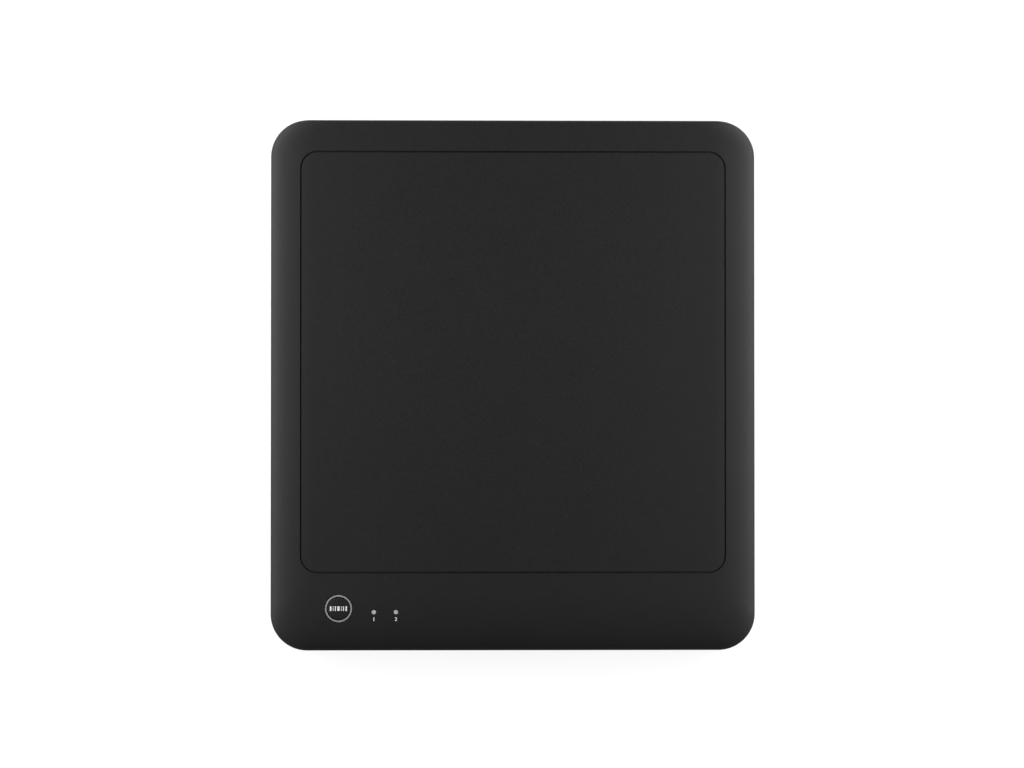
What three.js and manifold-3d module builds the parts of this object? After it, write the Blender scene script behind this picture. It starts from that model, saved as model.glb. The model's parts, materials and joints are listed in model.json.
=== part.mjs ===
// A desktop RFID reader: a flat pad that stands on four rubber feet. A patch antenna lies under a
// plate set flush into its top cover, and a front band holds one key and two indicator lights.
// Millimetres, +Z up. The front is -Y, and the origin is on the table under the housing's middle.

import * as THREE from "three";
import { mergeVertices } from "three/addons/utils/BufferGeometryUtils.js";
import Module from "manifold-3d";

const wasm = await Module();
wasm.setup();

// Housing as a whole
const body_width = 265;
const body_depth = 290;
const body_height = 23;
const corner_radius = 20;
const foot_stand = 1.6;
const seam_height = 11;
const seam_gap = 0.4;

// Walls of the two covers
const wall = 2.4;
const floor_wall = 2.2;
const roof_wall = 2.2;
const lip_height = 1.6;
const lip_wall = 1;

// The top cover's curved edges, each a quarter ellipse
const side_crown = 15;
const front_crown = 22;
const rear_crown = 3.2;
const crown_height = 5;
const top_corner_share = 0.55;

// The base cover's rounded lower edge
const base_round = 3.2;
const base_round_height = 3.6;

// Clearances
const fit_gap = 0.3;
const seat_gap = 0.3;
const trim_gap = 0.15;
const solder_gap = 0.1;
const overrun = 1;
const weld = 1e-4;

// Antenna panel and the recess it sits in
const panel_side_margin = 17;
const panel_front_margin = 43.1;
const panel_rear_margin = 17.9;
const panel_corner = 8.7;
const panel_groove = 1.1;
const panel_thickness = 2;
const panel_edge_round = 0.4;
const ledge_width = 5;
const ledge_thickness = 1.4;
const recess_wall = 2;
const panel_hook_width = 9;
const panel_hook_wall = 1.2;
const panel_hook_catch = 1.2;
const panel_hook_tip = 1.4;
const panel_hook_places_shares = [-0.62, 0, 0.62];
const panel_rib_wall = 1;
const panel_rib_height = 0.9;
const panel_ribs = 4;
const panel_rib_reach_share = 0.86;

// Housing screws and their bosses
const screw_corner_inset = 15.3;
const screw_middle_inset = 11.6;
const screw_shank_radius = 1.45;
const screw_head_radius = 2.8;
const screw_head_height = 1.9;
const screw_length = 11;
const screw_tip = 1.6;
const screw_sink = 3.2;
const base_boss_wall = 1.3;
const top_boss_wall = 1.9;
const boss_meet_drop = 1;
const gusset_wall = 1.2;

// Rubber feet
const foot_inset = 28;
const foot_radius = 7;
const foot_height = 2.4;
const foot_edge_round = 0.6;

// Base cover's floor ribs
const floor_rib_wall = 1;
const floor_rib_height = 1.2;
const floor_ribs_along = 5;
const floor_ribs_across = 5;

// Scan key and its light ring
const key_left_margin = 37.2;
const key_front_margin = 23.1;
const ring_outer_radius = 7.5;
const ring_width = 1.1;
const ring_sink = 0.1;
const ring_flange_reach = 1.5;
const ring_flange_height = 1;
const ring_skirt_drop = 1.6;
const ring_skirt_wall = 1;
const ring_leg_width = 3;
const ring_leg_wall = 0.7;
const ring_collar_wall = 1.2;
const ring_collar_height = 3;
const key_dish = 0.25;
const key_flange_reach = 0.55;
const key_flange_height = 0.8;
const key_stem_radius = 2;
const key_travel = 0.6;

// Indicator light pipes
const light_front_margin = 21.1;
const link_light_spacing = 19.3;
const work_light_spacing = 12;
const light_pipe_radius = 1.15;
const light_pipe_flange_reach = 0.9;
const light_pipe_flange_height = 1;
const light_pipe_shaft_reach = 0.35;
const light_pipe_collar_wall = 1;
const light_pipe_collar_height = 2.4;

// Main board and its screws
const board_side_margin = 20;
const board_front_margin = 4.6;
const board_plate_gap = 10;
const board_standoff = 5.1;
const board_thickness = 1.6;
const board_screw_side_inset = 6;
const board_screw_end_inset = 5;
const small_screw_shank_radius = 1;
const small_screw_head_radius = 2.1;
const small_screw_head_height = 1.4;
const small_screw_length = 4.2;
const small_screw_tip = 0.8;
const small_boss_wall = 1.4;

// Parts on the main board. The radio module, processor, reader module and buzzer stand in a row
// between the work light and the right-hand screws, with these shares of the row's free room to
// the left of each.
const part_row_shares = [0.08, 0.22, 0.47, 0.82];
const switch_side = 6;
const switch_height = 3.5;
const plunger_radius = 1.6;
const plunger_reach_share = 0.62;
const plunger_sink = 1;
const led_length = 2;
const led_width = 1.3;
const led_height = 0.8;
const processor_side = 12;
const processor_height = 1.4;
const processor_edge = 0.3;
const radio_length = 18;
const radio_width = 14;
const radio_board_thickness = 0.8;
const radio_can_height = 1.8;
const radio_can_share = 0.7;
const module_length = 42;
const module_width = 28;
const module_board_thickness = 1;
const can_length = 32;
const can_width = 24;
const can_height = 3;
const can_wall = 0.4;
const can_corner = 1;
const buzzer_radius = 6;
const buzzer_height = 4.4;
const buzzer_hole_radius = 1.2;
const buzzer_hole_depth = 1.5;

// Charging socket, its board and the ribbon to the main board
const socket_width = 8.9;
const socket_height = 3.2;
const socket_depth = 7.4;
const socket_wall = 0.35;
const socket_sink = 0.6;
const tongue_width_share = 0.75;
const tongue_thickness = 0.7;
const tongue_reach_share = 0.7;
const tongue_root = 1;
const charge_board_left = 40;
const charge_board_right = 14;
const charge_board_depth = 16;
const charge_board_thickness = 0.8;
const charge_board_standoff = 1.2;
const charge_board_rear_gap = 0.6;
const charge_post_inset = 4;
const charge_post_radius = 2.2;
const charge_pin_radius = 1;
const charge_pin_head = 1;
const ribbon_offset = 30;
const ribbon_width = 8;
const ribbon_thickness = 0.35;
const ribbon_bend_share = 0.36;
const ribbon_socket_length = 11;
const ribbon_socket_width = 4;
const ribbon_socket_height = 2;
const ribbon_socket_inset = 1;

// Battery cell, its bay on the floor, and its leads
const cell_width = 60;
const cell_depth = 90;
const cell_height = 4.1;
const cell_edge_round = 1;
const cell_corner = 2.5;
const cell_side_place_share = 0.44;
const cell_depth_place_share = 0.32;
const cell_tab_depth = 5;
const cell_tab_height = 1.8;
const cell_tab_inset = 4;
const bay_gap = 0.5;
const bay_wall = 1.2;
const bay_height = 2.4;
const lead_radius = 0.6;
const lead_spacing = 2.2;
const battery_plug_place_share = 0.35;
const battery_plug_width = 6;
const battery_plug_depth = 4.5;
const battery_plug_height = 3;
const battery_socket_depth = 3;
const battery_plug_inset = 5.4;

// Antenna
const plate_inset = 8;
const plate_standoff = 5.6;
const plate_thickness = 1;
const plate_corner = 6;
const plate_screw_inset = 11;
const patch_side = 150;
const patch_thickness = 1;
const patch_cut = 12;
const patch_lift_share = 0.66;
const spacer_place_share = 0.72;
const spacer_radius = 4;
const spacer_pin_radius = 1.6;
const spacer_head_radius = 2.6;
const spacer_head_height = 0.9;
const feed_place_share = 0.5;
const feed_pin_radius = 0.8;
const feed_pin_flange_radius = 1.8;
const feed_pin_flange_height = 0.6;
const feed_hole_radius = 3;
const feed_board_width = 18;
const feed_board_depth = 26;
const feed_board_thickness = 0.8;
const feed_board_front_share = 0.72;
const cable_radius = 0.9;
const cable_plug_radius = 1.6;
const cable_plug_height = 1.9;
const cable_barrel_length = 3;
const cable_module_inset = 3.6;
const cable_low_share = 0.55;

// Facets
const corner_steps = 6;
const crown_steps = 6;
const base_steps = 3;
const ring_sides = 32;
const foot_sides = 20;
const round_sides = 14;
const small_sides = 10;
const wire_sides = 8;
const wire_steps = 18;

// Heights and outlines that follow from the sizes above
const left_x = -body_width / 2;
const front_y = -body_depth / 2;
const rear_y = body_depth / 2;
const floor_z = foot_stand + floor_wall;
const roof_z = body_height - roof_wall;
const edge_z = body_height - crown_height;
const cover_low_z = seam_height + seam_gap;
const lip_top_z = seam_height + lip_height;

const panel_half = body_width / 2 - panel_side_margin;
const panel_front = front_y + panel_front_margin;
const panel_rear = rear_y - panel_rear_margin;
const panel_low_z = body_height - panel_thickness;
const ledge_z = panel_low_z - seat_gap;
const ledge_low_z = ledge_z - ledge_thickness;
const panel_middle_y = (panel_front + panel_rear) / 2;

const base_boss_z = seam_height - boss_meet_drop;
const top_boss_z = base_boss_z + seat_gap;
const screw_seat_z = foot_stand + screw_sink;
const screw_head_z = screw_seat_z - seat_gap;
const screw_places = [-1, 1].flatMap((side) => [
  [side * (body_width / 2 - screw_corner_inset), front_y + screw_corner_inset],
  [side * (body_width / 2 - screw_middle_inset), panel_middle_y],
  [side * (body_width / 2 - screw_corner_inset), rear_y - screw_corner_inset],
]);
const foot_places = [-1, 1].flatMap((side) => [
  [side * (body_width / 2 - foot_inset), front_y + foot_inset],
  [side * (body_width / 2 - foot_inset), rear_y - foot_inset],
]);

const plate_half = panel_half - plate_inset;
const plate_front = panel_front + plate_inset;
const plate_rear = panel_rear - plate_inset;
const plate_z = floor_z + plate_standoff;
const plate_top_z = plate_z + plate_thickness;
const plate_screw_places = [-1, 1].flatMap((side) => [
  [side * (plate_half - plate_screw_inset), plate_front + plate_screw_inset],
  [side * (plate_half - plate_screw_inset), plate_rear - plate_screw_inset],
]);

const board_half = body_width / 2 - wall - board_side_margin;
const board_front = front_y + wall + board_front_margin;
const board_rear = plate_front - board_plate_gap;
const board_middle_y = (board_front + board_rear) / 2;
const board_z = floor_z + board_standoff;
const board_top_z = board_z + board_thickness;
const part_z = board_top_z + solder_gap;
const board_screw_places = [-1, 1].flatMap((side) => [
  [side * (board_half - board_screw_side_inset), board_front + board_screw_end_inset],
  [side * (board_half - board_screw_side_inset), board_rear - board_screw_end_inset],
]);

const key_x = left_x + key_left_margin;
const key_y = front_y + key_front_margin;
const link_x = key_x + link_light_spacing;
const work_x = link_x + work_light_spacing;
const light_y = front_y + light_front_margin;
const ring_top_z = body_height - ring_sink;
const ring_inner_radius = ring_outer_radius - ring_width;
const ring_flange_radius = ring_outer_radius + ring_flange_reach;
const ring_flange_z = roof_z - seat_gap - ring_flange_height;
const ring_skirt_z = ring_flange_z - ring_skirt_drop;
const ring_skirt_radius = ring_flange_radius - fit_gap;
const ring_skirt_inner_radius = ring_skirt_radius - ring_skirt_wall;
const ring_leg_radius = (ring_skirt_inner_radius + ring_skirt_radius) / 2;
const led_top_z = part_z + led_height;
const key_radius = ring_inner_radius - trim_gap;
const key_flange_radius = key_radius + key_flange_reach;
const key_flange_top_z = ring_flange_z - trim_gap;
const key_flange_low_z = key_flange_top_z - key_flange_height;
const plunger_z = board_top_z + (key_flange_low_z - board_top_z) * plunger_reach_share;
const switch_top_z = part_z + switch_height;

const row_low_x = work_x + led_length / 2;
const row_high_x = board_half - board_screw_side_inset - small_screw_head_radius;
const row_lengths = [radio_length, processor_side, module_length, buzzer_radius * 2];
const total = (lengths) => lengths.reduce((sum, length) => sum + length, 0);
const row_room = row_high_x - row_low_x - total(row_lengths);
const [radio_x, processor_x, module_x, buzzer_x] = row_lengths.map(
  (length, index) =>
    row_low_x + total(row_lengths.slice(0, index)) + length / 2 + row_room * part_row_shares[index]
);
const module_right_x = module_x + module_length / 2;
const buzzer_left_x = buzzer_x - buzzer_radius;
const battery_plug_x = module_right_x + (buzzer_left_x - module_right_x) * battery_plug_place_share;

const charge_board_z = floor_z + charge_board_standoff;
const charge_board_top_z = charge_board_z + charge_board_thickness;
const charge_board_rear = rear_y - wall - charge_board_rear_gap;
const charge_board_front = charge_board_rear - charge_board_depth;
const socket_z = charge_board_top_z + solder_gap + socket_height / 2;
const socket_mouth_y = rear_y - socket_sink;
const ribbon_main_y = board_rear - ribbon_socket_inset - ribbon_socket_width / 2;
const ribbon_charge_y = charge_board_front + ribbon_socket_inset + ribbon_socket_width / 2;
const charge_posts = [
  [-charge_board_left + charge_post_inset, charge_board_rear - charge_post_inset],
  [charge_board_right - charge_post_inset, charge_board_front + charge_post_inset],
];

const cell_x = plate_half * cell_side_place_share;
const cell_y = panel_middle_y + (plate_rear - panel_middle_y) * cell_depth_place_share;
const cell_z = floor_z + seat_gap;

const panel_rib_low_z = panel_low_z - panel_rib_height;
const patch_z = plate_top_z + (panel_rib_low_z - plate_top_z) * patch_lift_share;
const patch_top_z = patch_z + patch_thickness;
const spacer_offset = (patch_side / 2) * spacer_place_share;
const spacer_places = [-1, 1].flatMap((side) => [
  [side * spacer_offset, panel_middle_y - spacer_offset],
  [side * spacer_offset, panel_middle_y + spacer_offset],
]);
const feed_y = panel_middle_y - (patch_side / 2) * feed_place_share;
const feed_board_z = plate_z - seat_gap - feed_board_thickness;
const feed_board_front = feed_y - feed_board_depth * feed_board_front_share;
const feed_plug_y = feed_board_front + cable_plug_radius + cable_barrel_length;
const module_top_z = part_z + module_board_thickness;
const module_plug_x = module_x - module_length / 2 + cable_module_inset;
const module_plug_y = board_middle_y + module_width / 2 - cable_module_inset - cable_barrel_length;
const module_plug_z = module_top_z + solder_gap;
const feed_plug_z = feed_board_z - solder_gap - cable_plug_height;
const gap_middle_y = board_rear + board_plate_gap / 2;
const wire_low_z = floor_z + (plate_z - floor_z) * cable_low_share;

// Shape helpers

function solid(geometry) {
  const bare = new THREE.BufferGeometry();
  bare.setAttribute("position", geometry.getAttribute("position"));
  if (geometry.index) bare.setIndex(geometry.index);
  const merged = mergeVertices(bare, weld);
  const mesh = new wasm.Mesh({
    numProp: 3,
    vertProperties: new Float32Array(merged.getAttribute("position").array),
    triVerts: new Uint32Array(merged.index.array),
  });
  return new wasm.Manifold(mesh);
}

function geometry_of(body) {
  const mesh = body.getMesh();
  const geometry = new THREE.BufferGeometry();
  geometry.setAttribute("position", new THREE.BufferAttribute(mesh.vertProperties, 3));
  geometry.setIndex(new THREE.BufferAttribute(mesh.triVerts, 1));
  return geometry;
}

// Rounded rectangle, counter-clockwise, as points of a plan view.
function rounded_outline(half_width, low_y, high_y, radius) {
  const corners = [
    [half_width - radius, high_y - radius],
    [radius - half_width, high_y - radius],
    [radius - half_width, low_y + radius],
    [half_width - radius, low_y + radius],
  ];
  const points = corners.flatMap(([x, y], quarter) =>
    Array.from({ length: corner_steps + 1 }, (_, step) => {
      const angle = (quarter + step / corner_steps) * (Math.PI / 2);
      return new THREE.Vector2(x + radius * Math.cos(angle), y + radius * Math.sin(angle));
    })
  );
  return points.filter((point, index) => point.distanceTo(points.at(index - 1)) > weld);
}

// Skin through plan outlines that all have the same number of points, closed at both ends.
function loft(sections) {
  const count = sections[0].outline.length;
  const position = sections.flatMap(({ outline, z }) => outline.flatMap((point) => [point.x, point.y, z]));
  const index = [];
  for (let row = 0; row + 1 < sections.length; row++) {
    for (let column = 0; column < count; column++) {
      const here = row * count + column;
      const next = row * count + ((column + 1) % count);
      index.push(here, next, next + count, here, next + count, here + count);
    }
  }
  const last = (sections.length - 1) * count;
  for (const [a, b, c] of THREE.ShapeUtils.triangulateShape(sections[0].outline, [])) {
    index.push(c, b, a, last + a, last + b, last + c);
  }
  const geometry = new THREE.BufferGeometry();
  geometry.setAttribute("position", new THREE.Float32BufferAttribute(position, 3));
  geometry.setIndex(index);
  return geometry;
}

function plate(outline, low_z, high_z) {
  return loft([{ outline, z: low_z }, { outline, z: high_z }]);
}

function block(low, high) {
  return new THREE.BoxGeometry(high[0] - low[0], high[1] - low[1], high[2] - low[2]).translate(
    (low[0] + high[0]) / 2,
    (low[1] + high[1]) / 2,
    (low[2] + high[2]) / 2
  );
}

// Block that stands on its place, centred over it.
function slab(half_x, half_y, height) {
  return block([-half_x, -half_y, 0], [half_x, half_y, height]);
}

function disc(x, y, radius, low_z, high_z, sides = round_sides) {
  return new THREE.CylinderGeometry(radius, radius, high_z - low_z, sides)
    .rotateX(Math.PI / 2)
    .translate(x, y, (low_z + high_z) / 2);
}

// Sheet with small round holes, each given as [x, y, radius], cut through between two heights.
function drilled(sheet, holes, low_z, high_z) {
  const drills = holes.map(([x, y, radius]) =>
    disc(x, y, radius, low_z - overrun, high_z + overrun, small_sides)
  );
  return geometry_of(drills.reduce((body, drill) => body.subtract(solid(drill)), solid(sheet)));
}

// Turned piece. The profile is a list of [radius, height] from the axis, out and back to it.
function turned(profile, sides = round_sides) {
  return new THREE.LatheGeometry(
    profile.map(([radius, z]) => new THREE.Vector2(radius, z)),
    sides
  ).rotateX(Math.PI / 2);
}

// Round wire along a smooth curve through the given points.
function wire(points, radius) {
  const curve = new THREE.CatmullRomCurve3(points.map((point) => new THREE.Vector3(...point)));
  const section = new THREE.Shape().absarc(0, 0, radius, 0, 2 * Math.PI);
  return new THREE.ExtrudeGeometry(section, {
    steps: wire_steps,
    extrudePath: curve,
    curveSegments: wire_sides / 2,
  });
}

// Grid of crossing ribs as one solid: a slab with each cell between the ribs cut through it.
function rib_grid(reach_x, low_y, high_y, rib, counts, low_z, high_z) {
  const pitch_x = (2 * reach_x - rib) / (counts[0] - 1);
  const pitch_y = (high_y - low_y - rib) / (counts[1] - 1);
  let grid = solid(block([-reach_x, low_y, low_z], [reach_x, high_y, high_z]));
  for (let column = 0; column + 1 < counts[0]; column++) {
    for (let row = 0; row + 1 < counts[1]; row++) {
      const x = -reach_x + rib + column * pitch_x;
      const y = low_y + rib + row * pitch_y;
      const cell = block(
        [x, y, low_z - overrun],
        [x + pitch_x - rib, y + pitch_y - rib, high_z + overrun]
      );
      grid = grid.subtract(solid(cell));
    }
  }
  return grid;
}

// Outlines of the housing

function housing_outline(side, low, high, radius) {
  return rounded_outline(body_width / 2 - side, front_y + low, rear_y - high, radius);
}

function inset_outline(inset) {
  return housing_outline(inset, inset, inset, corner_radius - inset);
}

// Sections up the top cover's edge, on its outside or, a wall further in, on its inside.
function crown_sections(inset, drop) {
  return Array.from({ length: crown_steps + 1 }, (_, step) => {
    const angle = (step / crown_steps) * (Math.PI / 2);
    const run = 1 - Math.cos(angle);
    return {
      outline: housing_outline(
        inset + (side_crown - inset) * run,
        inset + (front_crown - inset) * run,
        inset + (rear_crown - inset) * run,
        (corner_radius - inset) * (1 - (1 - top_corner_share) * run)
      ),
      z: edge_z + (crown_height - drop) * Math.sin(angle),
    };
  });
}

// Sections up the base cover's lower edge.
function base_sections(inset, rise) {
  return Array.from({ length: base_steps + 1 }, (_, step) => {
    const angle = (step / base_steps) * (Math.PI / 2);
    return {
      outline: inset_outline(inset + (base_round - inset) * (1 - Math.sin(angle))),
      z: foot_stand + rise + (base_round_height - rise) * (1 - Math.cos(angle)),
    };
  });
}

// Materials

function finish(color, roughness, metalness) {
  return new THREE.MeshStandardMaterial({ color, roughness, metalness });
}

const housing_plastic = () => finish(0x26262a, 0.62, 0);
const panel_plastic = () => finish(0x242427, 0.58, 0);
const milky_plastic = () => finish(0xa4a4aa, 0.35, 0);
const rubber = () => finish(0x1a1a1b, 0.9, 0);
const zinc_steel = () => finish(0xb4b6b8, 0.35, 1);
const tinned_steel = () => finish(0xc4c6c8, 0.3, 1);
const aluminium = () => finish(0xc6c8ca, 0.4, 1);
const brass = () => finish(0xc9a24a, 0.3, 1);
const green_board = () => finish(0x1f5a3a, 0.45, 0);
const chip_plastic = () => finish(0x1c1d1f, 0.5, 0);
const white_nylon = () => finish(0xe6e4dc, 0.5, 0);
const ribbon_film = () => finish(0xdedfe0, 0.4, 0);
const foil_pouch = () => finish(0x9fa2a6, 0.35, 0.8);
const red_wire = () => finish(0xb3241f, 0.5, 0);
const black_wire = () => finish(0x161617, 0.5, 0);
const light_chip = () => finish(0xf0efdf, 0.4, 0);

const reader = new THREE.Group();

function add(parent, name, geometry, material, place = [0, 0, 0]) {
  const mesh = new THREE.Mesh(geometry, material);
  mesh.name = name;
  mesh.position.set(...place);
  parent.add(mesh);
  return mesh;
}

// Base cover: a tray with a tongue along its rim, screw bosses, board posts and floor ribs.

function base_bosses() {
  const sunk_radius = screw_head_radius + fit_gap;
  const housing = screw_places.map(([x, y]) =>
    disc(x, y, sunk_radius + base_boss_wall, floor_z - overrun, base_boss_z)
  );
  const small_radius = small_screw_shank_radius + fit_gap + small_boss_wall;
  const carried = [
    [plate_screw_places, plate_z - seat_gap],
    [board_screw_places, board_z - seat_gap],
  ].flatMap(([places, top]) => places.map(([x, y]) => disc(x, y, small_radius, floor_z - overrun, top)));
  const posts = charge_posts.flatMap(([x, y]) => [
    disc(x, y, charge_post_radius, floor_z - overrun, charge_board_z - seat_gap),
    disc(x, y, charge_pin_radius, floor_z, charge_board_top_z + charge_pin_head, small_sides),
  ]);
  return [...housing, ...carried, ...posts];
}

function floor_ribs() {
  return rib_grid(
    plate_half - plate_screw_inset,
    plate_front + plate_screw_inset,
    plate_rear - plate_screw_inset,
    floor_rib_wall,
    [floor_ribs_along, floor_ribs_across],
    floor_z - overrun,
    floor_z + floor_rib_height
  );
}

function bay(grow, low, high) {
  const side = cell_width / 2 + grow;
  const end = cell_depth / 2 + grow;
  return block([cell_x - side, cell_y - end - cell_tab_depth, low], [cell_x + side, cell_y + end, high]);
}

function make_base_cover() {
  const rim = { outline: inset_outline(0), z: seam_height };
  const open_rim = { outline: inset_outline(wall), z: lip_top_z + overrun };
  let cover = solid(loft([...base_sections(0, 0), rim]));
  const lip = plate(inset_outline(wall - lip_wall), seam_height - overrun, lip_top_z);
  cover = cover.add(solid(lip)).subtract(solid(loft([...base_sections(wall, floor_wall), open_rim])));

  const low = floor_z - overrun;
  const ribs = floor_ribs().subtract(solid(bay(bay_gap + bay_wall / 2, low - overrun, plate_z)));
  const bay_frame = solid(bay(bay_gap + bay_wall, low, floor_z + bay_height))
    .subtract(solid(bay(bay_gap, low - overrun, plate_z)))
    .subtract(solid(lead_slot()));
  cover = cover.add(ribs).add(bay_frame);
  for (const boss of base_bosses()) cover = cover.add(solid(boss));

  for (const [x, y] of screw_places) {
    const sunk = disc(x, y, screw_head_radius + fit_gap, foot_stand - overrun, screw_seat_z);
    const shank = disc(x, y, screw_shank_radius + fit_gap, foot_stand, base_boss_z + overrun);
    cover = cover.subtract(solid(sunk)).subtract(solid(shank));
  }
  for (const [places, seat] of [[plate_screw_places, plate_top_z], [board_screw_places, board_top_z]]) {
    for (const [x, y] of places) {
      const pilot_z = seat + seat_gap - small_screw_length - fit_gap;
      const pilot = disc(x, y, small_screw_shank_radius + fit_gap, pilot_z, seat + overrun, small_sides);
      cover = cover.subtract(solid(pilot));
    }
  }
  const foot_top_z = foot_height + seat_gap;
  for (const [x, y] of foot_places) {
    const recess = disc(x, y, foot_radius + fit_gap, foot_stand - overrun, foot_top_z, foot_sides);
    cover = cover.subtract(solid(recess));
  }
  return geometry_of(cover.subtract(solid(socket_window())));
}

// The slot in the bay's front wall that the two leads come out of.
function lead_slot() {
  const reach = lead_spacing + lead_radius + fit_gap;
  const front = cell_y - cell_depth / 2 - cell_tab_depth - bay_gap - bay_wall;
  return block(
    [cell_x - reach, front - overrun, floor_z - overrun * 2],
    [cell_x + reach, front + bay_wall + overrun, floor_z + bay_height + overrun]
  );
}

// The window in the rear wall that the charging socket looks through.
function socket_window() {
  const half_height = socket_height / 2 + fit_gap;
  const outline = rounded_outline(socket_width / 2 + fit_gap, -half_height, half_height, half_height);
  return plate(outline, 0, wall + overrun * 2)
    .rotateX(Math.PI / 2)
    .translate(0, rear_y + overrun, socket_z);
}

// Top cover: a crowned shell with a recess and a ledge for the antenna panel.

function top_bosses() {
  const radius = screw_shank_radius + fit_gap + top_boss_wall;
  const gusset_low = lip_top_z + seat_gap + fit_gap;
  return screw_places.flatMap(([x, y]) => {
    const ends = [x, (Math.sign(x) * body_width) / 2].sort((a, b) => a - b);
    return [
      disc(x, y, radius, top_boss_z - overrun, body_height),
      block([ends[0], y - gusset_wall / 2, gusset_low], [ends[1], y + gusset_wall / 2, body_height]),
    ];
  });
}

function light_collars() {
  const ring_radius = ring_flange_radius + fit_gap + ring_collar_wall;
  const pipe_radius = light_pipe_radius + light_pipe_flange_reach + fit_gap + light_pipe_collar_wall;
  return [
    disc(key_x, key_y, ring_radius, roof_z - ring_collar_height, body_height, ring_sides),
    ...[link_x, work_x].map((x) =>
      disc(x, light_y, pipe_radius, roof_z - light_pipe_collar_height, body_height)
    ),
  ];
}

// Stepped holes: the narrow mouth in the roof, and the wider space below it for the flange.
function light_holes() {
  const low = roof_z - ring_collar_height - overrun;
  const high = body_height + overrun;
  const pipe_flange = light_pipe_radius + light_pipe_flange_reach + fit_gap;
  return [
    disc(key_x, key_y, ring_outer_radius + trim_gap, low, high, ring_sides),
    disc(key_x, key_y, ring_flange_radius + fit_gap, low, roof_z, ring_sides),
    ...[link_x, work_x].flatMap((x) => [
      disc(x, light_y, light_pipe_radius + trim_gap, low, high),
      disc(x, light_y, pipe_flange, low, roof_z),
    ]),
  ];
}

function window_outline(grow) {
  return rounded_outline(
    panel_half - ledge_width + grow,
    panel_front + ledge_width - grow,
    panel_rear - ledge_width + grow,
    panel_corner / 2 + grow
  );
}

function recess_outline(grow) {
  return rounded_outline(
    panel_half + grow,
    panel_front - grow,
    panel_rear + grow,
    panel_corner + grow
  );
}

function make_top_cover() {
  const low_rim = { outline: inset_outline(0), z: cover_low_z };
  const open_rim = { outline: inset_outline(wall), z: cover_low_z - overrun };
  const outside = solid(loft([low_rim, ...crown_sections(0, 0)]));
  const inside = solid(loft([open_rim, ...crown_sections(wall, roof_wall)]));
  const rebate = plate(
    inset_outline(wall - lip_wall - fit_gap),
    cover_low_z - overrun,
    lip_top_z + seat_gap
  );
  const mid_rim = { outline: inset_outline(wall / 2), z: top_boss_z };
  const mid_skin = solid(loft([mid_rim, ...crown_sections(wall / 2, roof_wall / 2)]));
  let cover = outside.subtract(inside).subtract(solid(rebate));

  const frame = plate(recess_outline(panel_groove + recess_wall), ledge_low_z, body_height);
  for (const piece of [frame, ...top_bosses(), ...light_collars()]) {
    cover = cover.add(solid(piece).intersect(mid_skin));
  }
  cover = cover
    .subtract(solid(plate(recess_outline(panel_groove), ledge_z, body_height + overrun)))
    .subtract(solid(plate(window_outline(0), cover_low_z, body_height)));
  for (const hole of light_holes()) cover = cover.subtract(solid(hole));
  for (const [x, y] of screw_places) {
    const pilot_z = screw_head_z + screw_length + fit_gap;
    const pilot = disc(x, y, screw_shank_radius + fit_gap, top_boss_z - overrun, pilot_z);
    cover = cover.subtract(solid(pilot));
  }
  return geometry_of(cover);
}

// Antenna panel: a thin plate with a softened rim, a rib grid and hooks that snap under the ledge.

function panel_hook() {
  const depth = panel_low_z - ledge_low_z + seat_gap;
  const profile = new THREE.Shape([
    new THREE.Vector2(-panel_hook_wall, panel_thickness / 2),
    new THREE.Vector2(-panel_hook_wall, -depth - panel_hook_tip),
    new THREE.Vector2(0, -depth - panel_hook_tip),
    new THREE.Vector2(panel_hook_catch, -depth),
    new THREE.Vector2(0, -depth),
    new THREE.Vector2(0, panel_thickness / 2),
  ]);
  return new THREE.ExtrudeGeometry(profile, { depth: panel_hook_width, bevelEnabled: false })
    .translate(0, 0, -panel_hook_width / 2)
    .rotateX(Math.PI / 2);
}

function panel_hooks() {
  const reach_x = panel_half - ledge_width - fit_gap;
  const reach_y = (panel_rear - panel_front) / 2 - ledge_width - fit_gap;
  return panel_hook_places_shares.flatMap((share) =>
    [0, 1, 2, 3].map((quarter) => {
      const along = quarter % 2 ? reach_y : reach_x;
      const across = (quarter % 2 ? reach_x : reach_y) * share;
      return panel_hook()
        .translate(along, across, 0)
        .rotateZ((quarter * Math.PI) / 2)
        .translate(0, panel_middle_y, panel_low_z);
    })
  );
}

function panel_rib_grid() {
  const reach_x = (panel_half - ledge_width) * panel_rib_reach_share;
  const reach_y = ((panel_rear - panel_front) / 2 - ledge_width) * panel_rib_reach_share;
  return rib_grid(
    reach_x,
    panel_middle_y - reach_y,
    panel_middle_y + reach_y,
    panel_rib_wall,
    [panel_ribs, panel_ribs],
    panel_rib_low_z,
    panel_low_z + panel_thickness / 2
  );
}

function make_antenna_panel() {
  let panel = solid(
    loft([
      { outline: recess_outline(0), z: panel_low_z },
      { outline: recess_outline(0), z: body_height - panel_edge_round },
      { outline: recess_outline(-panel_edge_round), z: body_height },
    ])
  );
  panel = panel.add(panel_rib_grid());
  for (const hook of panel_hooks()) panel = panel.add(solid(hook));
  return geometry_of(panel);
}

// Screws, with a domed head below the bearing face and the shank above it. Origin at that face.
function screw(shank_radius, head_radius, head_height, length, tip) {
  return turned(
    [
      [0, -head_height],
      [head_radius / 2, -head_height],
      [head_radius, -head_height / 2],
      [head_radius, 0],
      [shank_radius, 0],
      [shank_radius, length - tip],
      [0, length],
    ],
    small_sides
  );
}

const small_screw = () =>
  screw(
    small_screw_shank_radius,
    small_screw_head_radius,
    small_screw_head_height,
    small_screw_length,
    small_screw_tip
  ).rotateX(Math.PI);

function make_foot() {
  return turned([
    [0, 0],
    [foot_radius - foot_edge_round, 0],
    [foot_radius, foot_edge_round],
    [foot_radius, foot_height],
    [0, foot_height],
  ], foot_sides);
}

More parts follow.
